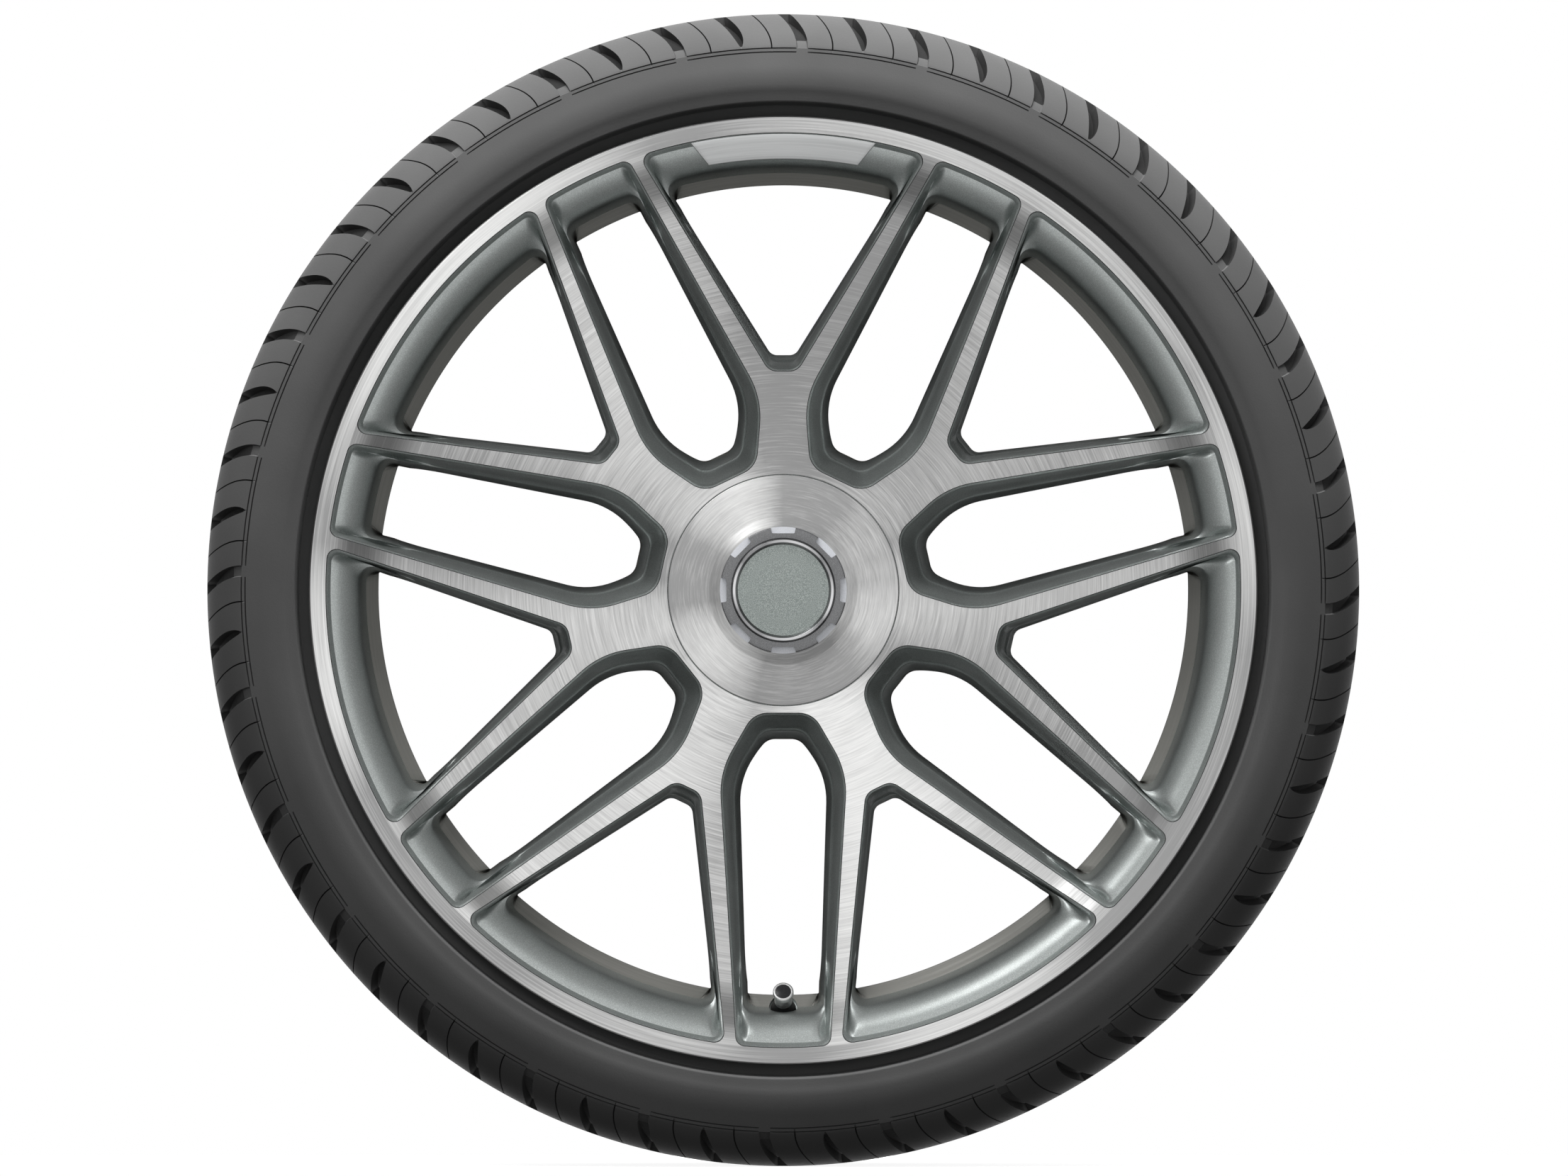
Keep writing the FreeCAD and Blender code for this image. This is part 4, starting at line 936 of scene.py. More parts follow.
    def levels(self) -> list[tuple[WindowLevel, RimSurface]]:
        """Levels of a window from its edge to the back, each with the surface that leads to it."""
        # The line just inside the turned edge takes the near-black painted shade.
        chain = [(self.EDGE, RimSurface.TURNED), (self.LINE, RimSurface.EDGE)]
        chain += [(level, RimSurface.PAINTED) for level in self.BEAD]
        previous = self.BEAD[-1]
        for level in self.FLANK:
            for part in range(1, self.FLANK_PARTS + 1):
                chain.append((previous.towards(level, part / self.FLANK_PARTS), RimSurface.PAINTED))
            previous = level
        chain += [(level, RimSurface.PAINTED) for level in self.WALL[:-1]]
        return chain + [(self.WALL[-1], RimSurface.BAND)]

    def cut_window(self, bm: BMesh, window: Window) -> None:
        """Adds the space of one window at the top of the wheel.

        Args:
            bm: The mesh that receives the closed space.
            window: The window's outline.
        """
        edge = window.outline(self.EDGE)
        bases = [self.front_y(math.hypot(u, v)) for u, v, _ in edge]
        outer = window.outline(self.CLEAR)
        clear_y = self.lip_y - self.FRONT_CLEARANCE
        ring = add_ring(bm, [Vector((u, clear_y, v)) for u, v, _ in outer])
        fill_ring(bm, ring, RimSurface.TURNED.value)
        lifted = [Vector((u, base + self.CLEAR.depth, v)) for (u, v, _), base in zip(outer, bases)]
        ring = extrude_ring(bm, ring, lifted, RimSurface.PAINTED.value)
        for level, surface in self.levels():
            places = []
            for (u, v, share), base in zip(window.outline(level), bases):
                places.append(Vector((u, base + mix(level.depth, level.lip_depth, share), v)))
            ring = extrude_ring(bm, ring, places, surface.value)
        last = [Vector((u, self.BACK_Y, v)) for u, v, _ in window.outline(self.WALL[-1])]
        ring = extrude_ring(bm, ring, last, RimSurface.PAINTED.value)
        fill_ring(bm, ring, RimSurface.TURNED.value)

    def cut_bolt(self, bm: BMesh) -> None:
        """Adds the space of one wheel bolt at the top of the bolt circle."""
        seat_y = self.pad_y - self.bolt_seat_height
        pocket_y = seat_y - self.ball_seat_height
        ball_r, ball_rise = self.ball_middle
        section = [(0.0, self.cover_floor_y - 1.0), (self.bolt_pocket_r, self.cover_floor_y - 1.0)]
        section += [(self.bolt_pocket_r, pocket_y), (ball_r, pocket_y + ball_rise), (self.bolt_hole_r, seat_y)]
        section += [(self.bolt_hole_r, self.BACK_Y), (0.0, self.BACK_Y)]
        spin_section(bm, section, 40, closed=False)
        bmesh.ops.translate(bm, verts=bm.verts[:], vec=(0.0, 0.0, self.bolt_circle_r))
        for face in bm.faces:
            face.material_index = RimSurface.PAINTED.value

    def cut_valve(self, bm: BMesh, seat: Matrix) -> None:
        """Adds the valve's hole and the pocket in front of its seat."""
        section = [(0.0, -self.VALVE_HOLE_REACH), (self.valve_hole_r, -self.VALVE_HOLE_REACH)]
        section += [(self.valve_hole_r, 0.0), (self.valve_pocket_r, 0.0)]
        section += [(self.valve_pocket_r, self.VALVE_POCKET_REACH), (0.0, self.VALVE_POCKET_REACH)]
        spin_section(bm, section, 48, closed=False)
        bmesh.ops.transform(bm, matrix=seat, verts=bm.verts[:])
        face_out(bm)
        for face in bm.faces:
            face.material_index = RimSurface.PAINTED.value

    def cutters(self) -> Mesh:
        """Windows and bolt holes, which are taken out of the turned body, in one mesh."""
        whole = bpy.data.meshes.new("rim_cutters")
        gathered = bmesh.new()
        pitch = FULL_TURN / self.spokes
        jobs = [
            (lambda bm: self.cut_window(bm, self.FORK), self.spokes, 0.0),
            (lambda bm: self.cut_window(bm, self.SLOT), self.spokes, pitch / 2),
            (self.cut_bolt, self.bolts, 0.0),
        ]
        for cut, copies, first_turn in jobs:
            bm = bmesh.new()
            cut(bm)
            face_out(bm)
            repeat_round(bm, copies, first_turn)
            mesh = plain_mesh(bm, "one_cutter")
            gathered.from_mesh(mesh)
            bpy.data.meshes.remove(mesh)
        gathered.to_mesh(whole)
        gathered.free()
        return whole

    def build(self, finishes: Finishes, seat: Matrix) -> Piece:
        """Makes the rim.

        Args:
            finishes: The wheel's finishes.
            seat: Place and direction of the valve's seat, its local +Y out of the seat face.

        Returns:
            The rim's object.
        """
        valve_space = bmesh.new()
        self.cut_valve(valve_space, seat)
        materials = [finishes.turned, finishes.paint, finishes.edge, finishes.band, finishes.lip]
        mesh = subtract(self.blank(), self.cutters(), materials)
        mesh = subtract(mesh, plain_mesh(valve_space, "valve_space"), materials)
        solids = [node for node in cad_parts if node.startswith("rim_")]
        return place_piece(mesh, "rim", WHEEL_BODY, materials, solids, crease_deg=28.0)


class GrooveKind(Enum):
    """What runs across the tyre's shoulder along one line of its mesh."""

    BLOCK = 0
    OPEN = 1
    BLIND = 2
    SIPE = 3


@dataclass(frozen=True)
class TreadLine:
    """One line of the tyre's mesh across the tread.

    Attributes:
        centre: Angle of the groove's middle, or of the line itself on a block.
        side: -1 or 1 for a groove's two edges and 0 for its middle.
        sunk: Whether the line lies on the groove's floor.
        kind: What the line belongs to.
    """

    centre: float
    side: float
    sunk: bool
    kind: GrooveKind


@dataclass
class Tyre:
    """Low-profile tyre: plain sidewalls, round grooves and curved grooves across the shoulders."""

    radius: float
    half_width: float
    flange_r: float
    repeats: int = 28
    edge_r: float = 328.4
    edge_y: float = 133.94
    edge_lines_r: tuple[float, float] = (327.9, 325.6)
    edge_line_half: float = 0.4
    edge_line_depth: float = 0.6
    crown_half: float = 94.0
    crown_drop: float = 1.0
    knee_y: float = 121.1
    round_groove_y: float = 48.0
    round_groove_half: float = 5.0
    round_groove_depth: float = 7.0
    groove_start_y: float = 62.0
    groove_depth: float = 5.5
    sipe_depth: float = 2.2
    lean_deg: float = 2.0
    open_half_deg: float = 0.6
    blind_half_deg: float = 0.62
    sipe_half_deg: float = 0.075
    draft_deg: float = 0.1
    shoulder_rows: int = 22
    tread_rows: int = 5

    GROOVE_SHADE_DEPTH = 1.6
    GROOVE_RUN_IN = 8.0
    SIPE_END = 0.98
    SIPE_FADE = 0.1
    OPEN_END = 1.02
    OPEN_LEAST_DEPTH = 0.15
    BLIND_LEAST_WIDTH = 0.06
    BLIND_TAPER = 3.5
    BLIND_FADE_START = 0.7
    BLIND_FADE = 0.3
    PLAIN_BELOW_EDGE = 4.0
    MOST_DRAFT = 0.4
    BLOCK_LINES = (0.12 + 0.29, 0.12 + 0.29 * 2)
    BEAD_HEEL_Y = 101.15
    BEAD_SEAT = ((280.1, -120.35), (273.2, -120.35), (269.1, -116.5), (267.7, -BEAD_HEEL_Y))
    LINER = ((271.4, -BEAD_HEEL_Y), (284.8, -108.65), (299.3, -124.15), (316.0, -126.65), (334.7, -83.0),
             (334.7, 0.0))

    def pitch_deg(self) -> float:
        """Angle from one open groove to the next."""
        return 360.0 / self.repeats

    def lines(self) -> list[TreadLine]:
        """Lines of one repeat of the pattern: an open groove, a sipe, a blind groove and a sipe."""
        pitch = self.pitch_deg()
        found = []
        kinds = (GrooveKind.OPEN, GrooveKind.SIPE, GrooveKind.BLIND, GrooveKind.SIPE)
        for index, kind in enumerate(kinds):
            centre = pitch * index / len(kinds)
            if kind is GrooveKind.SIPE:
                edges = ((-1, False), (0, True), (1, False))
            else:
                edges = ((-1, False), (-1, True), (1, True), (1, False))
            found += [TreadLine(centre, side, sunk, kind) for side, sunk in edges]
            for share in self.BLOCK_LINES:
                place = centre + pitch / len(kinds) * share
                found.append(TreadLine(place, 0, False, GrooveKind.BLOCK))
        first = found[0]
        return found + [TreadLine(first.centre + pitch, first.side, first.sunk, first.kind)]

    def shoulder(self) -> Section:
        """Outboard shoulder from the tread to the sidewall's edge."""
        crown = Vector((self.radius - self.crown_drop, -self.crown_half))
        knee = Vector((self.radius - self.crown_drop, -self.knee_y))
        edge = Vector((self.edge_r, -self.edge_y))
        points = []
        for row in range(self.shoulder_rows + 1):
            t = row / self.shoulder_rows
            points.append(tuple(crown * (1 - t) ** 2 + knee * 2 * t * (1 - t) + edge * t * t))
        return points

    def tread(self) -> Section:
        """Tread from its middle to the outboard shoulder, with its round grooves."""
        half = self.round_groove_half
        floor = self.radius - self.round_groove_depth
        points = [(floor, 0.0), (floor, -half + 1.5), (self.radius, -half)]
        inner = self.round_groove_y - half
        outer = self.round_groove_y + half
        points += [(self.radius, -mix(half, inner, part / 3)) for part in (1, 2, 3)]
        points += [(floor, -inner - 1.5), (floor, -outer + 1.5), (self.radius, -outer)]
        for row in range(1, self.tread_rows):
            share = row / self.tread_rows
            drop = self.crown_drop * share * share
            points.append((self.radius - drop, -mix(outer, self.crown_half, share)))
        return points

    def sidewall(self) -> Section:
        """Outboard sidewall from its edge to the bead, and the bead's seat on the rim."""
        ends = [(self.edge_r, -self.edge_y), (318.0, -self.half_width + 1.67)]
        points = []
        for line_r in self.edge_lines_r:
            for radius in (line_r + self.edge_line_half, line_r, line_r - self.edge_line_half):
                share = (self.edge_r - radius) / (self.edge_r - ends[1][0])
                points.append((radius, mix(ends[0][1], ends[1][1], share)))
        return points[:-1] + rounded([
            points[-1],
            (312.0, -self.half_width, 43.5),
            (304.0, -self.half_width, 20.5),
            (299.2, -self.half_width + 0.93),
            (295.4, -self.half_width + 1.18, 1.2),
            (293.6, -124.5, 1.2),
            (self.flange_r + 0.9, -123.15),
            *self.BEAD_SEAT,
        ], chords=6)

    def half_section(self) -> Section:
        """Outboard half of the section from the middle of the tread round to the middle of the liner."""
        return self.tread() + self.shoulder() + self.sidewall() + list(self.LINER)

    def section(self) -> Section:
        """Closed section, its first point repeated at the end."""
        half = self.half_section()
        mirrored = [(radius, -y) for radius, y in reversed(half[:-1])]
        return half + mirrored

    def cut(self, line: TreadLine, radius: float, y: float) -> tuple[float, float]:
        """Turn and depth of one point of the tread.

        Args:
            line: The mesh line that the point is on.
            radius: The point's radius before it is sunk.
            y: The point's place along the axle.

        Returns:
            The point's angle in degrees and how far it is sunk.
        """
        side = math.copysign(1.0, -y)
        down = (self.radius - radius) / (self.radius - self.edge_r)
        lean = self.lean_deg * (1 - (1 - min(1.0, down)) ** 2) * side
        reach = abs(y) - self.groove_start_y
        if line.kind is GrooveKind.BLOCK:
            return line.centre + lean, self.edge_line_depth * (radius in self.edge_lines_r)
        starting = smooth_step(reach / self.GROOVE_RUN_IN)
        if line.kind is GrooveKind.SIPE:
            width = self.sipe_half_deg
            deep = self.sipe_depth * starting * (1 - smooth_step((down - self.SIPE_END) / self.SIPE_FADE))
        elif line.kind is GrooveKind.OPEN:
            width = self.open_half_deg
            shallower = mix(1.0, self.OPEN_LEAST_DEPTH, smooth_step(down)) * (down < self.OPEN_END)
            deep = self.groove_depth * starting * shallower
        else:
            width = self.blind_half_deg * max(self.BLIND_LEAST_WIDTH, 1 - max(0.0, down) ** self.BLIND_TAPER)
            fading = smooth_step((down - self.BLIND_FADE_START) / self.BLIND_FADE)
            deep = self.groove_depth * starting * (1 - fading)
        if radius < self.edge_r - self.PLAIN_BELOW_EDGE or reach < 0:
            deep = 0.0
        if radius in self.edge_lines_r and line.kind is not GrooveKind.OPEN:
            return line.centre + line.side * width + lean, self.edge_line_depth
        if line.sunk and line.side:
            width -= min(self.draft_deg, width * self.MOST_DRAFT)
        return line.centre + line.side * width + lean, deep if line.sunk else 0.0

    def build(self, finishes: Finishes) -> Piece:
        """Makes the tyre from one repeat of its pattern, turned about the axle."""
        bm = bmesh.new()
        lines = self.lines()
        section = self.section()
        columns = len(lines) - 1
        rows = len(section) - 1
        bmesh.ops.create_grid(bm, x_segments=columns, y_segments=rows, size=1.0)
        sunk = set()
        for vertex in bm.verts:
            column = round((vertex.co.x + 1) / 2 * columns)
            row = round((vertex.co.y + 1) / 2 * rows)
            radius, y = section[row]
            turn_deg, deep = self.cut(lines[column], radius, y)
            if deep > self.GROOVE_SHADE_DEPTH or deep == self.edge_line_depth:
                sunk.add(vertex)
            before = Vector(section[max(0, row - 1)])
            after = Vector(section[min(rows, row + 1)])
            along = (after - before).normalized()
            radius, y = Vector((radius, y)) + Vector((along.y, -along.x)) * deep
            turn = math.radians(turn_deg)
            vertex.co = (radius * math.sin(turn), y, radius * math.cos(turn))
        # Faces in deep grooves and on the edge lines take the darker rubber: painted shade.
        for face in bm.faces:
            face.material_index = int(any(vertex in sunk for vertex in face.verts))
        repeat_round(bm, self.repeats)
        bmesh.ops.remove_doubles(bm, verts=bm.verts[:], dist=1e-3)
        face_out(bm)
        mesh = plain_mesh(bm, "tyre_skin")
        return place_piece(mesh, "tyre_skin", WHEEL_BODY, [finishes.tyre, finishes.groove],
                           ["tyre"], crease_deg=32.0)


@dataclass
class HubCap:
    """Round cover with a notched ring, a bright ring and a plain badge."""

    cover_r: float
    hub_y: float = -100.0
    cone_r: float = 45.0
    cone_top_r: float = 39.6
    cone_top_y: float = -101.4
    ring_r: float = 38.4
    ring_y: float = -113.0
    ring_inner_r: float = 31.4
    notch_r: float = 34.4
    notch_y: float = -109.4
    notch_half_deg: float = 11.3
    notches: int = 8
    bezel_front_y: float = -114.4
    bezel_back_y: float = -110.8
    bezel_r: float = 31.3
    badge_r: float = 27.6
    badge_front_y: float = -113.4
    badge_crown: float = 0.6
    steps: int = 192

    BADGE_RINGS = 8

    def cover(self, finishes: Finishes) -> Piece:
        """Turned cover that rises to the boss."""
        return turned_piece([
            (31.0, -99.0),
            (31.0, self.cone_top_y),
            (self.cone_top_r, self.cone_top_y, 2.0),
            (self.cone_r, self.hub_y, 4.0),
            (58.0, self.hub_y),
            (self.cover_r, self.hub_y, 0.35),
            (self.cover_r, -94.3),
            (66.0, -94.3),
            (66.0, -97.6),
            (self.cone_r, -97.6),
            (self.cone_top_r, -99.0),
        ], "cap_cover", HUB_CAP_BODY, finishes.cover, "hub_cap_cover", self.steps)

    def badge(self, finishes: Finishes) -> Piece:
        """Plain crowned disc."""
        corners = [(0.0, self.bezel_back_y), (0.0, self.badge_front_y)]
        for part in range(1, self.BADGE_RINGS + 1):
            share = part / self.BADGE_RINGS
            corners.append((self.badge_r * share, self.badge_front_y + self.badge_crown * share ** 2))
        corners.append((self.badge_r, self.bezel_back_y))
        return turned_piece(corners, "cap_badge", HUB_CAP_BODY, finishes.badge, "hub_cap_badge",
                            self.steps)

    def bezel(self, finishes: Finishes) -> Piece:
        """Bright ring round the badge."""
        inner = self.badge_r + 0.1
        return turned_piece([
            (inner, self.bezel_back_y),
            (inner, self.bezel_front_y + 1.6, 0.3),
            (28.9, self.bezel_front_y, 0.5),
            (30.6, self.bezel_front_y, 0.4),
            (self.bezel_r, self.bezel_front_y + 1.0, 0.4),
            (self.bezel_r, self.bezel_back_y),
        ], "cap_bezel", HUB_CAP_BODY, finishes.chrome, "hub_cap_bezel", self.steps)

    def lock_ring(self, finishes: Finishes) -> Piece:
        """Ring with square notches round its front edge."""
        bm = bmesh.new()
        spin_section(bm, rounded([
            (self.ring_inner_r, self.cone_top_y),
            (self.ring_r, self.cone_top_y),
            (self.ring_r, self.ring_y, 0.9),
            (self.ring_inner_r, self.ring_y, 0.4),
            (self.ring_inner_r, self.ring_y + 4.0),
        ], 4), self.steps)
        ring = plain_mesh(bm, "lock_ring")
        bm = bmesh.new()
        half = math.radians(self.notch_half_deg)
        past = self.ring_r * 1.2
        outline = rounded([
            (-past * math.tan(half), past),
            (-self.notch_r * math.tan(half), self.notch_r, 0.8),
            (self.notch_r * math.tan(half), self.notch_r, 0.8),
            (past * math.tan(half), past),
        ], 4)
        ring_verts = add_ring(bm, [Vector((u, self.ring_y - 2.0, v)) for u, v in outline])
        fill_ring(bm, ring_verts, 0)
        floor = extrude_ring(bm, ring_verts, [Vector((u, self.notch_y, v)) for u, v in outline], 0)
        fill_ring(bm, floor, 1)
        face_out(bm)
        repeat_round(bm, self.notches)
        materials = [finishes.ring, finishes.notch]
        mesh = subtract(ring, plain_mesh(bm, "notches"), materials)
        return place_piece(mesh, "cap_lock_ring", HUB_CAP_BODY, materials, ["hub_cap_lock_ring"])

    def build(self, finishes: Finishes) -> None:
        """Makes the four pieces that show."""
        self.cover(finishes)
        self.lock_ring(finishes)
        self.bezel(finishes)
        self.badge(finishes)


@dataclass
class Valve:
    """Valve in the rim: rubber body, screw cap and its inlay, along an axis that leans in to the wheel."""

    lean_deg: float = 29.0
    seat_y: float = -93.25
    seat_r: float = 254.7
    collar_r: float = 7.75
    neck_r: float = 5.0
    neck_length: float = 11.6
    cap_r: float = 6.25
    skirt_r: float = 5.35
    cap_start: float = 12.0
    cap_front: float = 24.6
    cap_bore_r: float = 4.15
    cap_ceiling: float = 22.7
    inlay_r: float = 4.6
    inlay_depth: float = 0.6
    head_length: float = 3.4
    steps: int = 64

    BODY_BORE_R = 3.7

    def seat(self) -> Matrix:
        """Place of the seat: local +Y runs out of it along the valve."""
        lean = Matrix.Rotation(math.radians(180.0 - self.lean_deg), 4, "X")
        return Matrix.Translation((0.0, self.seat_y, -self.seat_r)) @ lean

    def build(self, finishes: Finishes) -> None:
        """Makes the rubber body, the cap and the inlay."""
        seat = self.seat()
        turned_piece([
            (self.BODY_BORE_R, -11.0),
            (5.75, -11.0),
            (8.6, -7.5, 1.5),
            (8.6, -4.0, 0.5),
            (5.65, -4.0),
            (5.65, 0.0),
            (self.collar_r, 0.0),
            (self.collar_r, 2.2, 1.0),
            (self.neck_r, self.neck_length, 0.8),
            (self.BODY_BORE_R, self.neck_length),
        ], "valve_body", WHEEL_BODY, finishes.rubber, "valve_grommet", self.steps, seat, 4)
        head = self.cap_front - self.head_length
        turned_piece([
            (self.cap_bore_r, self.cap_start),
            (self.skirt_r, self.cap_start, 0.3),
            (self.skirt_r, head - 0.7, 0.3),
            (self.cap_r, head, 0.4),
            (self.cap_r, self.cap_front, 0.8),
            (self.inlay_r + 0.1, self.cap_front, 0.2),
            (self.inlay_r + 0.1, self.cap_front - self.inlay_depth),
            (0.0, self.cap_front - self.inlay_depth),
            (0.0, self.cap_ceiling),
            (self.cap_bore_r, self.cap_ceiling),
        ], "cap_of_valve", VALVE_CAP_BODY, finishes.satin, "valve_cap", self.steps, seat, 4)
        turned_piece([
            (0.0, self.cap_front - self.inlay_depth),
            (0.0, self.cap_front - 0.05),
            (self.inlay_r, self.cap_front - 0.15, 0.15),
            (self.inlay_r, self.cap_front - self.inlay_depth),
        ], "cap_inlay", VALVE_CAP_BODY, finishes.inlay, "valve_cap_inlay", self.steps, seat, 4)


@dataclass
class LipPlate:
    """Bare raised plate on the lip at the top window: a wide, flat field between two arcs."""

    outer_r: float = 276.2
    inner_r: float = 260.8
    outer_half: float = 56.2
    inner_half: float = 45.1
    outer_y: float = -131.4
    inner_y: float = -128.2
    thickness: float = 9.0
    edge: float = 0.5
    chords: int = 40
    rows: int = 4

    def build(self, finishes: Finishes) -> Piece:
        """Makes the plate with its edges rounded."""
        bm = bmesh.new()
        bmesh.ops.create_grid(bm, x_segments=self.chords, y_segments=self.rows, size=1.0)
        for vertex in bm.verts:
            share = (vertex.co.y + 1) / 2
            radius = mix(self.inner_r, self.outer_r, share)
            reach = math.asin(mix(self.inner_half, self.outer_half, share) / radius) * vertex.co.x
            y = mix(self.inner_y, self.outer_y, share)
            vertex.co = (radius * math.sin(reach), y, radius * math.cos(reach))
        made = bmesh.ops.extrude_face_region(bm, geom=bm.faces[:])["geom"]
        back = [item for item in made if isinstance(item, BMVert)]
        bmesh.ops.translate(bm, verts=back, vec=(0.0, self.thickness, 0.0))
        face_out(bm)
        sharp = [edge for edge in bm.edges if edge.calc_face_angle(0.0) > 1.0]
        bmesh.ops.bevel(bm, geom=sharp, offset=self.edge, affect="EDGES", segments=3, profile=0.5, material=-1)
        mesh = plain_mesh(bm, "lip_plate")
        return place_piece(mesh, "lip_plate", WHEEL_BODY, [finishes.plate])


class HiddenNodes:
    """Solids inside the wheel that keep their own shape and get a finish."""

    DRESS = {
        "valve_stem": "brass", "valve_core_body": "brass", "valve_core_pin": "brass",
        "valve_core_spring": "steel", "valve_core_seal": "rubber", "valve_cap_seal": "rubber",
        "sensor_case": "plastic", "sensor_lid": "plastic", "sensor_screw": "steel",
        "hub_cap_carrier": "plastic", "hub_cap_spring_ring": "steel",
    }
    PIN_TRAVEL = 1.0

    def dress(self, finishes: Finishes) -> None:
        """Gives each solid its finish."""
        for node, finish in self.DRESS.items():
            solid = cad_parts[node]
            solid.data.materials.clear()
            solid.data.materials.append(getattr(finishes, finish))
            LOG.info("%s dressed in %s", node, finish)

    def squeeze_spring(self) -> None:
        """Gives the core's spring a mesh of its own.
        """
        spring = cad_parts["valve_core_spring"]
        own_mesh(spring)


@dataclass(frozen=True)
class Lamp:
    """Soft rectangular lamp that looks at the wheel."""

    name: str
    place: tuple[float, float, float]
    width: float
    height: float
    power: float
    mirrored: bool = True
    target: tuple[float, float, float] = grey(0.0)

    def build(self) -> Piece:
        """Makes the lamp."""
        data = bpy.data.lights.new(self.name, "AREA")
        data.shape = "RECTANGLE"
        data.size = self.width
        data.size_y = self.height
        data.energy = self.power
        lamp = bpy.data.objects.new(self.name, data)
        bpy.context.scene.collection.objects.link(lamp)
        lamp.location = self.place
        lamp.visible_glossy = self.mirrored
        lamp.rotation_mode = "QUATERNION"
        lamp.rotation_quaternion = (Vector(self.target) - Vector(self.place)).to_track_quat("-Z", "Y")
        return lamp


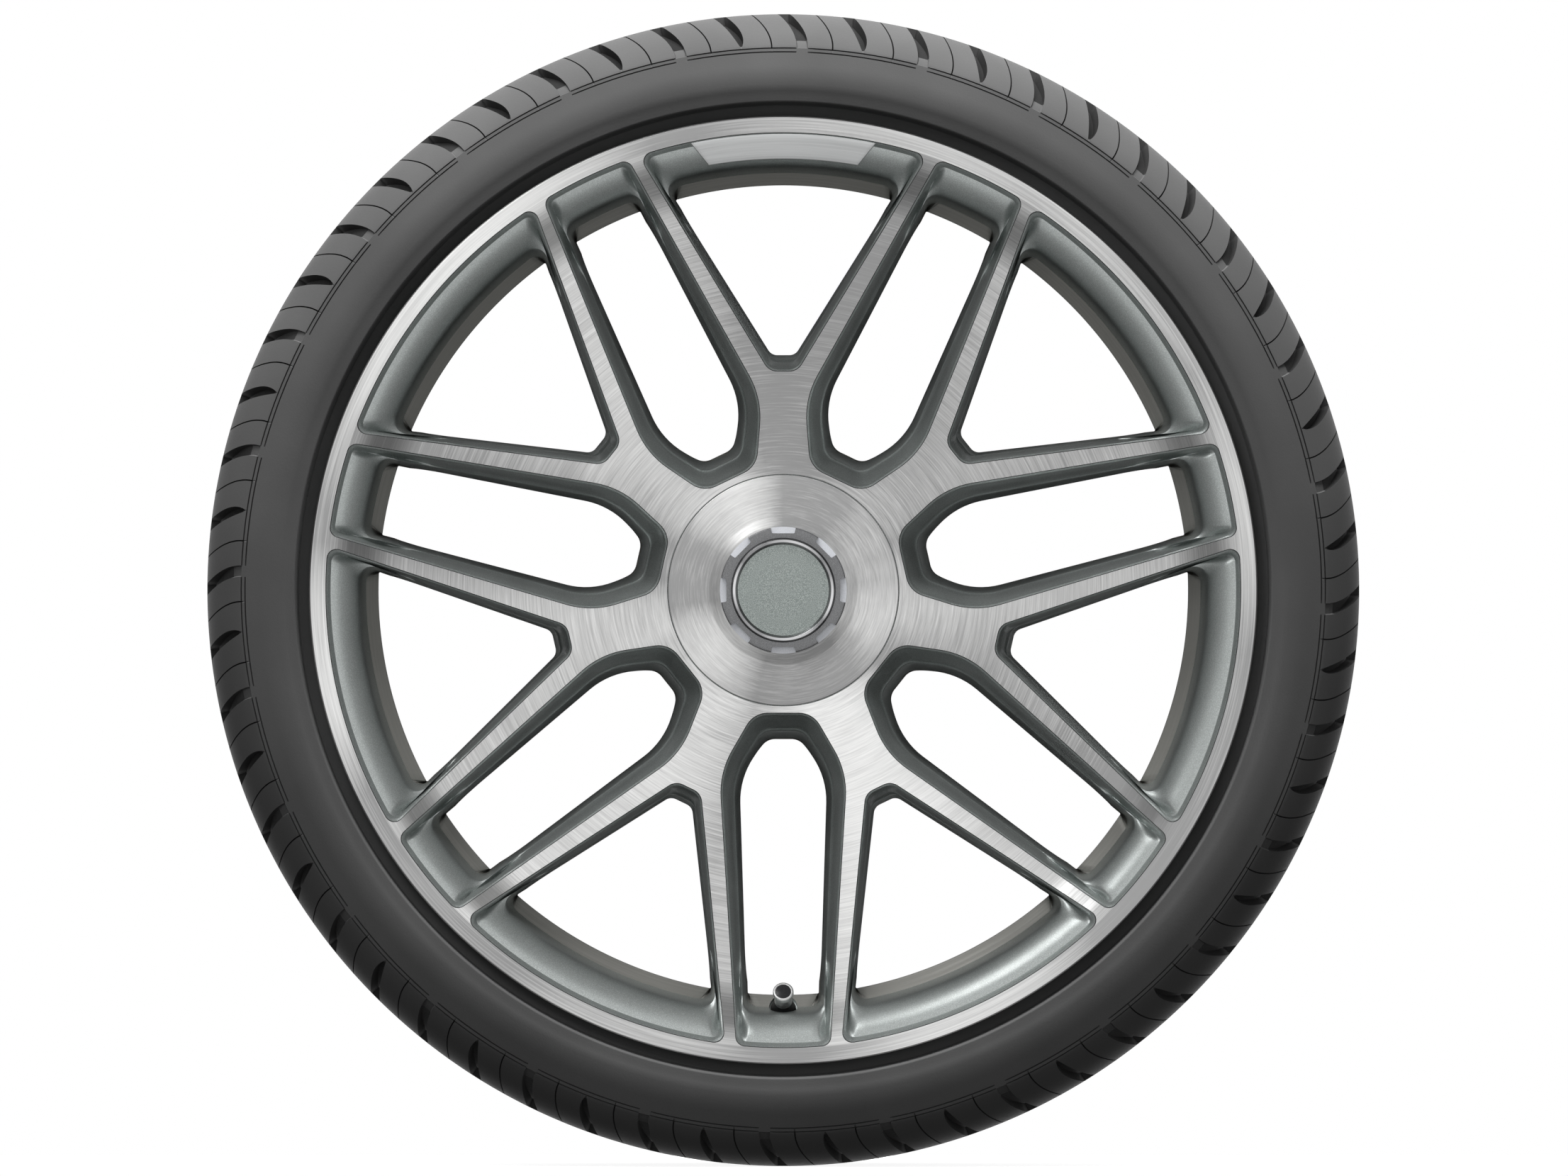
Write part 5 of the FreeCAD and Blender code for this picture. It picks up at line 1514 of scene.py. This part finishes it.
@dataclass
class Studio:
    """White background, pale floor, soft lamps and a long lens on the wheel's axis. Metres."""

    floor_z: float
    distance: float = 32.0
    frame_width: float = 0.9524
    offset_x_px: float = 1.0
    offset_z_px: float = 3.0
    floor_reach: float = 0.5
    floor_shine: float = 0.9
    room_low: float = 0.03
    room_high: float = 0.2
    glow_side: float = 0.16
    glow_front: float = 0.66
    card_y: float = 0.15
    card_r: float = 0.27

    BEHIND = (0.5, 0.95)
    AHEAD = (0.1, -1.0)
    ROOM_HEIGHT = (-0.7, 0.7)
    SENSOR_WIDTH_MM = 36.0
    LAMPS = (
        Lamp("key", (-1.3, -2.0, 2.0), 1.4, 1.4, 24.0),
        Lamp("front", (0.2, -4.5, 0.4), 2.4, 2.4, 9.0),
        Lamp("sky", (0.0, -0.5, 2.4), 2.2, 1.0, 165.0, mirrored=False),
        Lamp("right", (2.6, -2.4, 0.2), 0.7, 1.8, 6.0, mirrored=False),
        Lamp("left", (-2.6, -2.2, 0.2), 0.6, 1.6, 3.0, mirrored=False),
    )

    def camera(self) -> None:
        """Camera in front of the wheel, so far off that its lines are almost parallel."""
        data = bpy.data.cameras.new("camera")
        data.sensor_width = self.SENSOR_WIDTH_MM
        data.lens = data.sensor_width * self.distance / self.frame_width
        data.clip_end = self.distance * 3
        camera = bpy.data.objects.new("camera", data)
        bpy.context.scene.collection.objects.link(camera)
        pixel = self.frame_width / IMAGE_WIDTH_PX
        camera.location = (self.offset_x_px * pixel, -self.distance, self.offset_z_px * pixel)
        camera.rotation_euler = (math.radians(90.0), 0.0, 0.0)
        bpy.context.scene.camera = camera

    def world(self) -> None:
        """White behind the wheel for the camera and in reflections, and a dimmer room in front of it."""
        world = bpy.data.worlds.new("studio")
        bpy.context.scene.world = world
        world.use_nodes = True
        world.node_tree.nodes.clear()
        graph = NodeGraph(world.node_tree)
        path = graph.add("ShaderNodeLightPath").outputs
        parts = graph.add("ShaderNodeSeparateXYZ")
        graph.feed(parts.inputs[0], graph.add("ShaderNodeTexCoord").outputs["Generated"])
        along, up = parts.outputs["Y"], parts.outputs["Z"]
        seen = graph.sum("ADD", path["Is Glossy Ray"], path["Is Transmission Ray"])
        mirrored = graph.sum("MULTIPLY", seen, graph.between(along, *self.BEHIND))
        white = graph.sum("MAXIMUM", path["Is Camera Ray"], mirrored)
        room = graph.between(up, *self.ROOM_HEIGHT, self.room_low, self.room_high)
        ahead = graph.sum("POWER", graph.between(along, *self.AHEAD), 2.0)
        glow = graph.between(ahead, 0.0, 1.0, self.glow_side, self.glow_front)
        extra = graph.sum("MULTIPLY", path["Is Glossy Ray"], graph.sum("SUBTRACT", glow, room))
        blend = graph.add("ShaderNodeMixShader")
        graph.feed(blend.inputs["Fac"], white)
        for index, strength in ((1, graph.sum("ADD", room, extra)), (2, 1.0)):
            background = graph.add("ShaderNodeBackground")
            graph.feed(background.inputs["Color"], WHITE)
            graph.feed(background.inputs["Strength"], strength)
            graph.feed(blend.inputs[index], background.outputs[0])
        output = graph.add("ShaderNodeOutputWorld")
        graph.feed(output.inputs["Surface"], blend.outputs[0])

    @staticmethod
    def flat_object(bm: BMesh, name: str, material: Material) -> Piece:
        """Object of the studio from a bmesh in metres, which is freed."""
        mesh = bpy.data.meshes.new(name)
        bm.to_mesh(mesh)
        bm.free()
        mesh.materials.append(material)
        made = bpy.data.objects.new(name, mesh)
        bpy.context.scene.collection.objects.link(made)
        return made

    def floor(self) -> None:
        """Pale floor under the tyre."""
        bm = bmesh.new()
        bmesh.ops.create_grid(bm, x_segments=2, y_segments=2, size=self.floor_reach)
        bmesh.ops.translate(bm, verts=bm.verts[:], vec=(0.0, 0.0, self.floor_z))
        tree = ShaderTree("pale_floor")
        speck = tree.noise(tree.place(), 40.0, detail=2.0)
        tree.set(Base_Color=tree.tint(speck, grey(0.82), grey(0.86)), Roughness=0.8)
        path = tree.add("ShaderNodeLightPath")
        tree.set(Emission_Color=grey(1.0))
        tree.set(Emission_Strength=tree.sum("MULTIPLY", path.outputs["Is Camera Ray"], self.floor_shine))
        floor = self.flat_object(bm, "floor", tree.material)
        floor.visible_diffuse = False
        floor.visible_glossy = False

    def card(self) -> None:
        """Dark card behind the wheel that only reflections see, so that the windows' flanks stay dark."""
        bm = bmesh.new()
        bmesh.ops.create_circle(bm, cap_ends=True, segments=64, radius=self.card_r)
        upright = Matrix.Rotation(math.pi / 2, 3, "X")
        bmesh.ops.rotate(bm, verts=bm.verts[:], cent=(0, 0, 0), matrix=upright)
        bmesh.ops.translate(bm, verts=bm.verts[:], vec=(0.0, self.card_y, 0.0))
        tree = ShaderTree("dark_card")
        tree.set(Base_Color=grey(0.02), Roughness=0.9)
        card = self.flat_object(bm, "dark_card", tree.material)
        card.visible_camera = False
        card.visible_diffuse = False
        card.visible_shadow = False
        card.visible_transmission = False

    def build(self) -> None:
        """Makes the studio."""
        bpy.context.scene.view_settings.view_transform = "Standard"
        self.camera()
        self.world()
        self.floor()
        self.card()
        for lamp in self.LAMPS:
            lamp.build()


def main() -> None:
    """Builds the wheel piece by piece and sets up the studio."""
    logging.basicConfig(level=logging.INFO, format="%(name)s %(message)s")
    finishes = Finishes()
    lip_y = node_box("rim_lip_1")[0][1]
    flange_r, inboard_y, _ = node_box("rim_barrel")[1]
    radius, half_width, _ = node_box("tyre")[1]
    cover_r = node_box("hub_cap_cover")[1][0] - COVER_GAP
    floor_z = node_box("tyre")[0][2] * MM
    valve = Valve()
    ForgedRim(flange_r, lip_y, inboard_y).build(finishes, valve.seat())
    Tyre(radius, half_width, flange_r).build(finishes)
    HubCap(cover_r).build(finishes)
    valve.build(finishes)
    LipPlate().build(finishes)
    hidden = HiddenNodes()
    hidden.dress(finishes)
    hidden.squeeze_spring()
    Studio(floor_z).build()


if __name__ == "__main__":
    main()
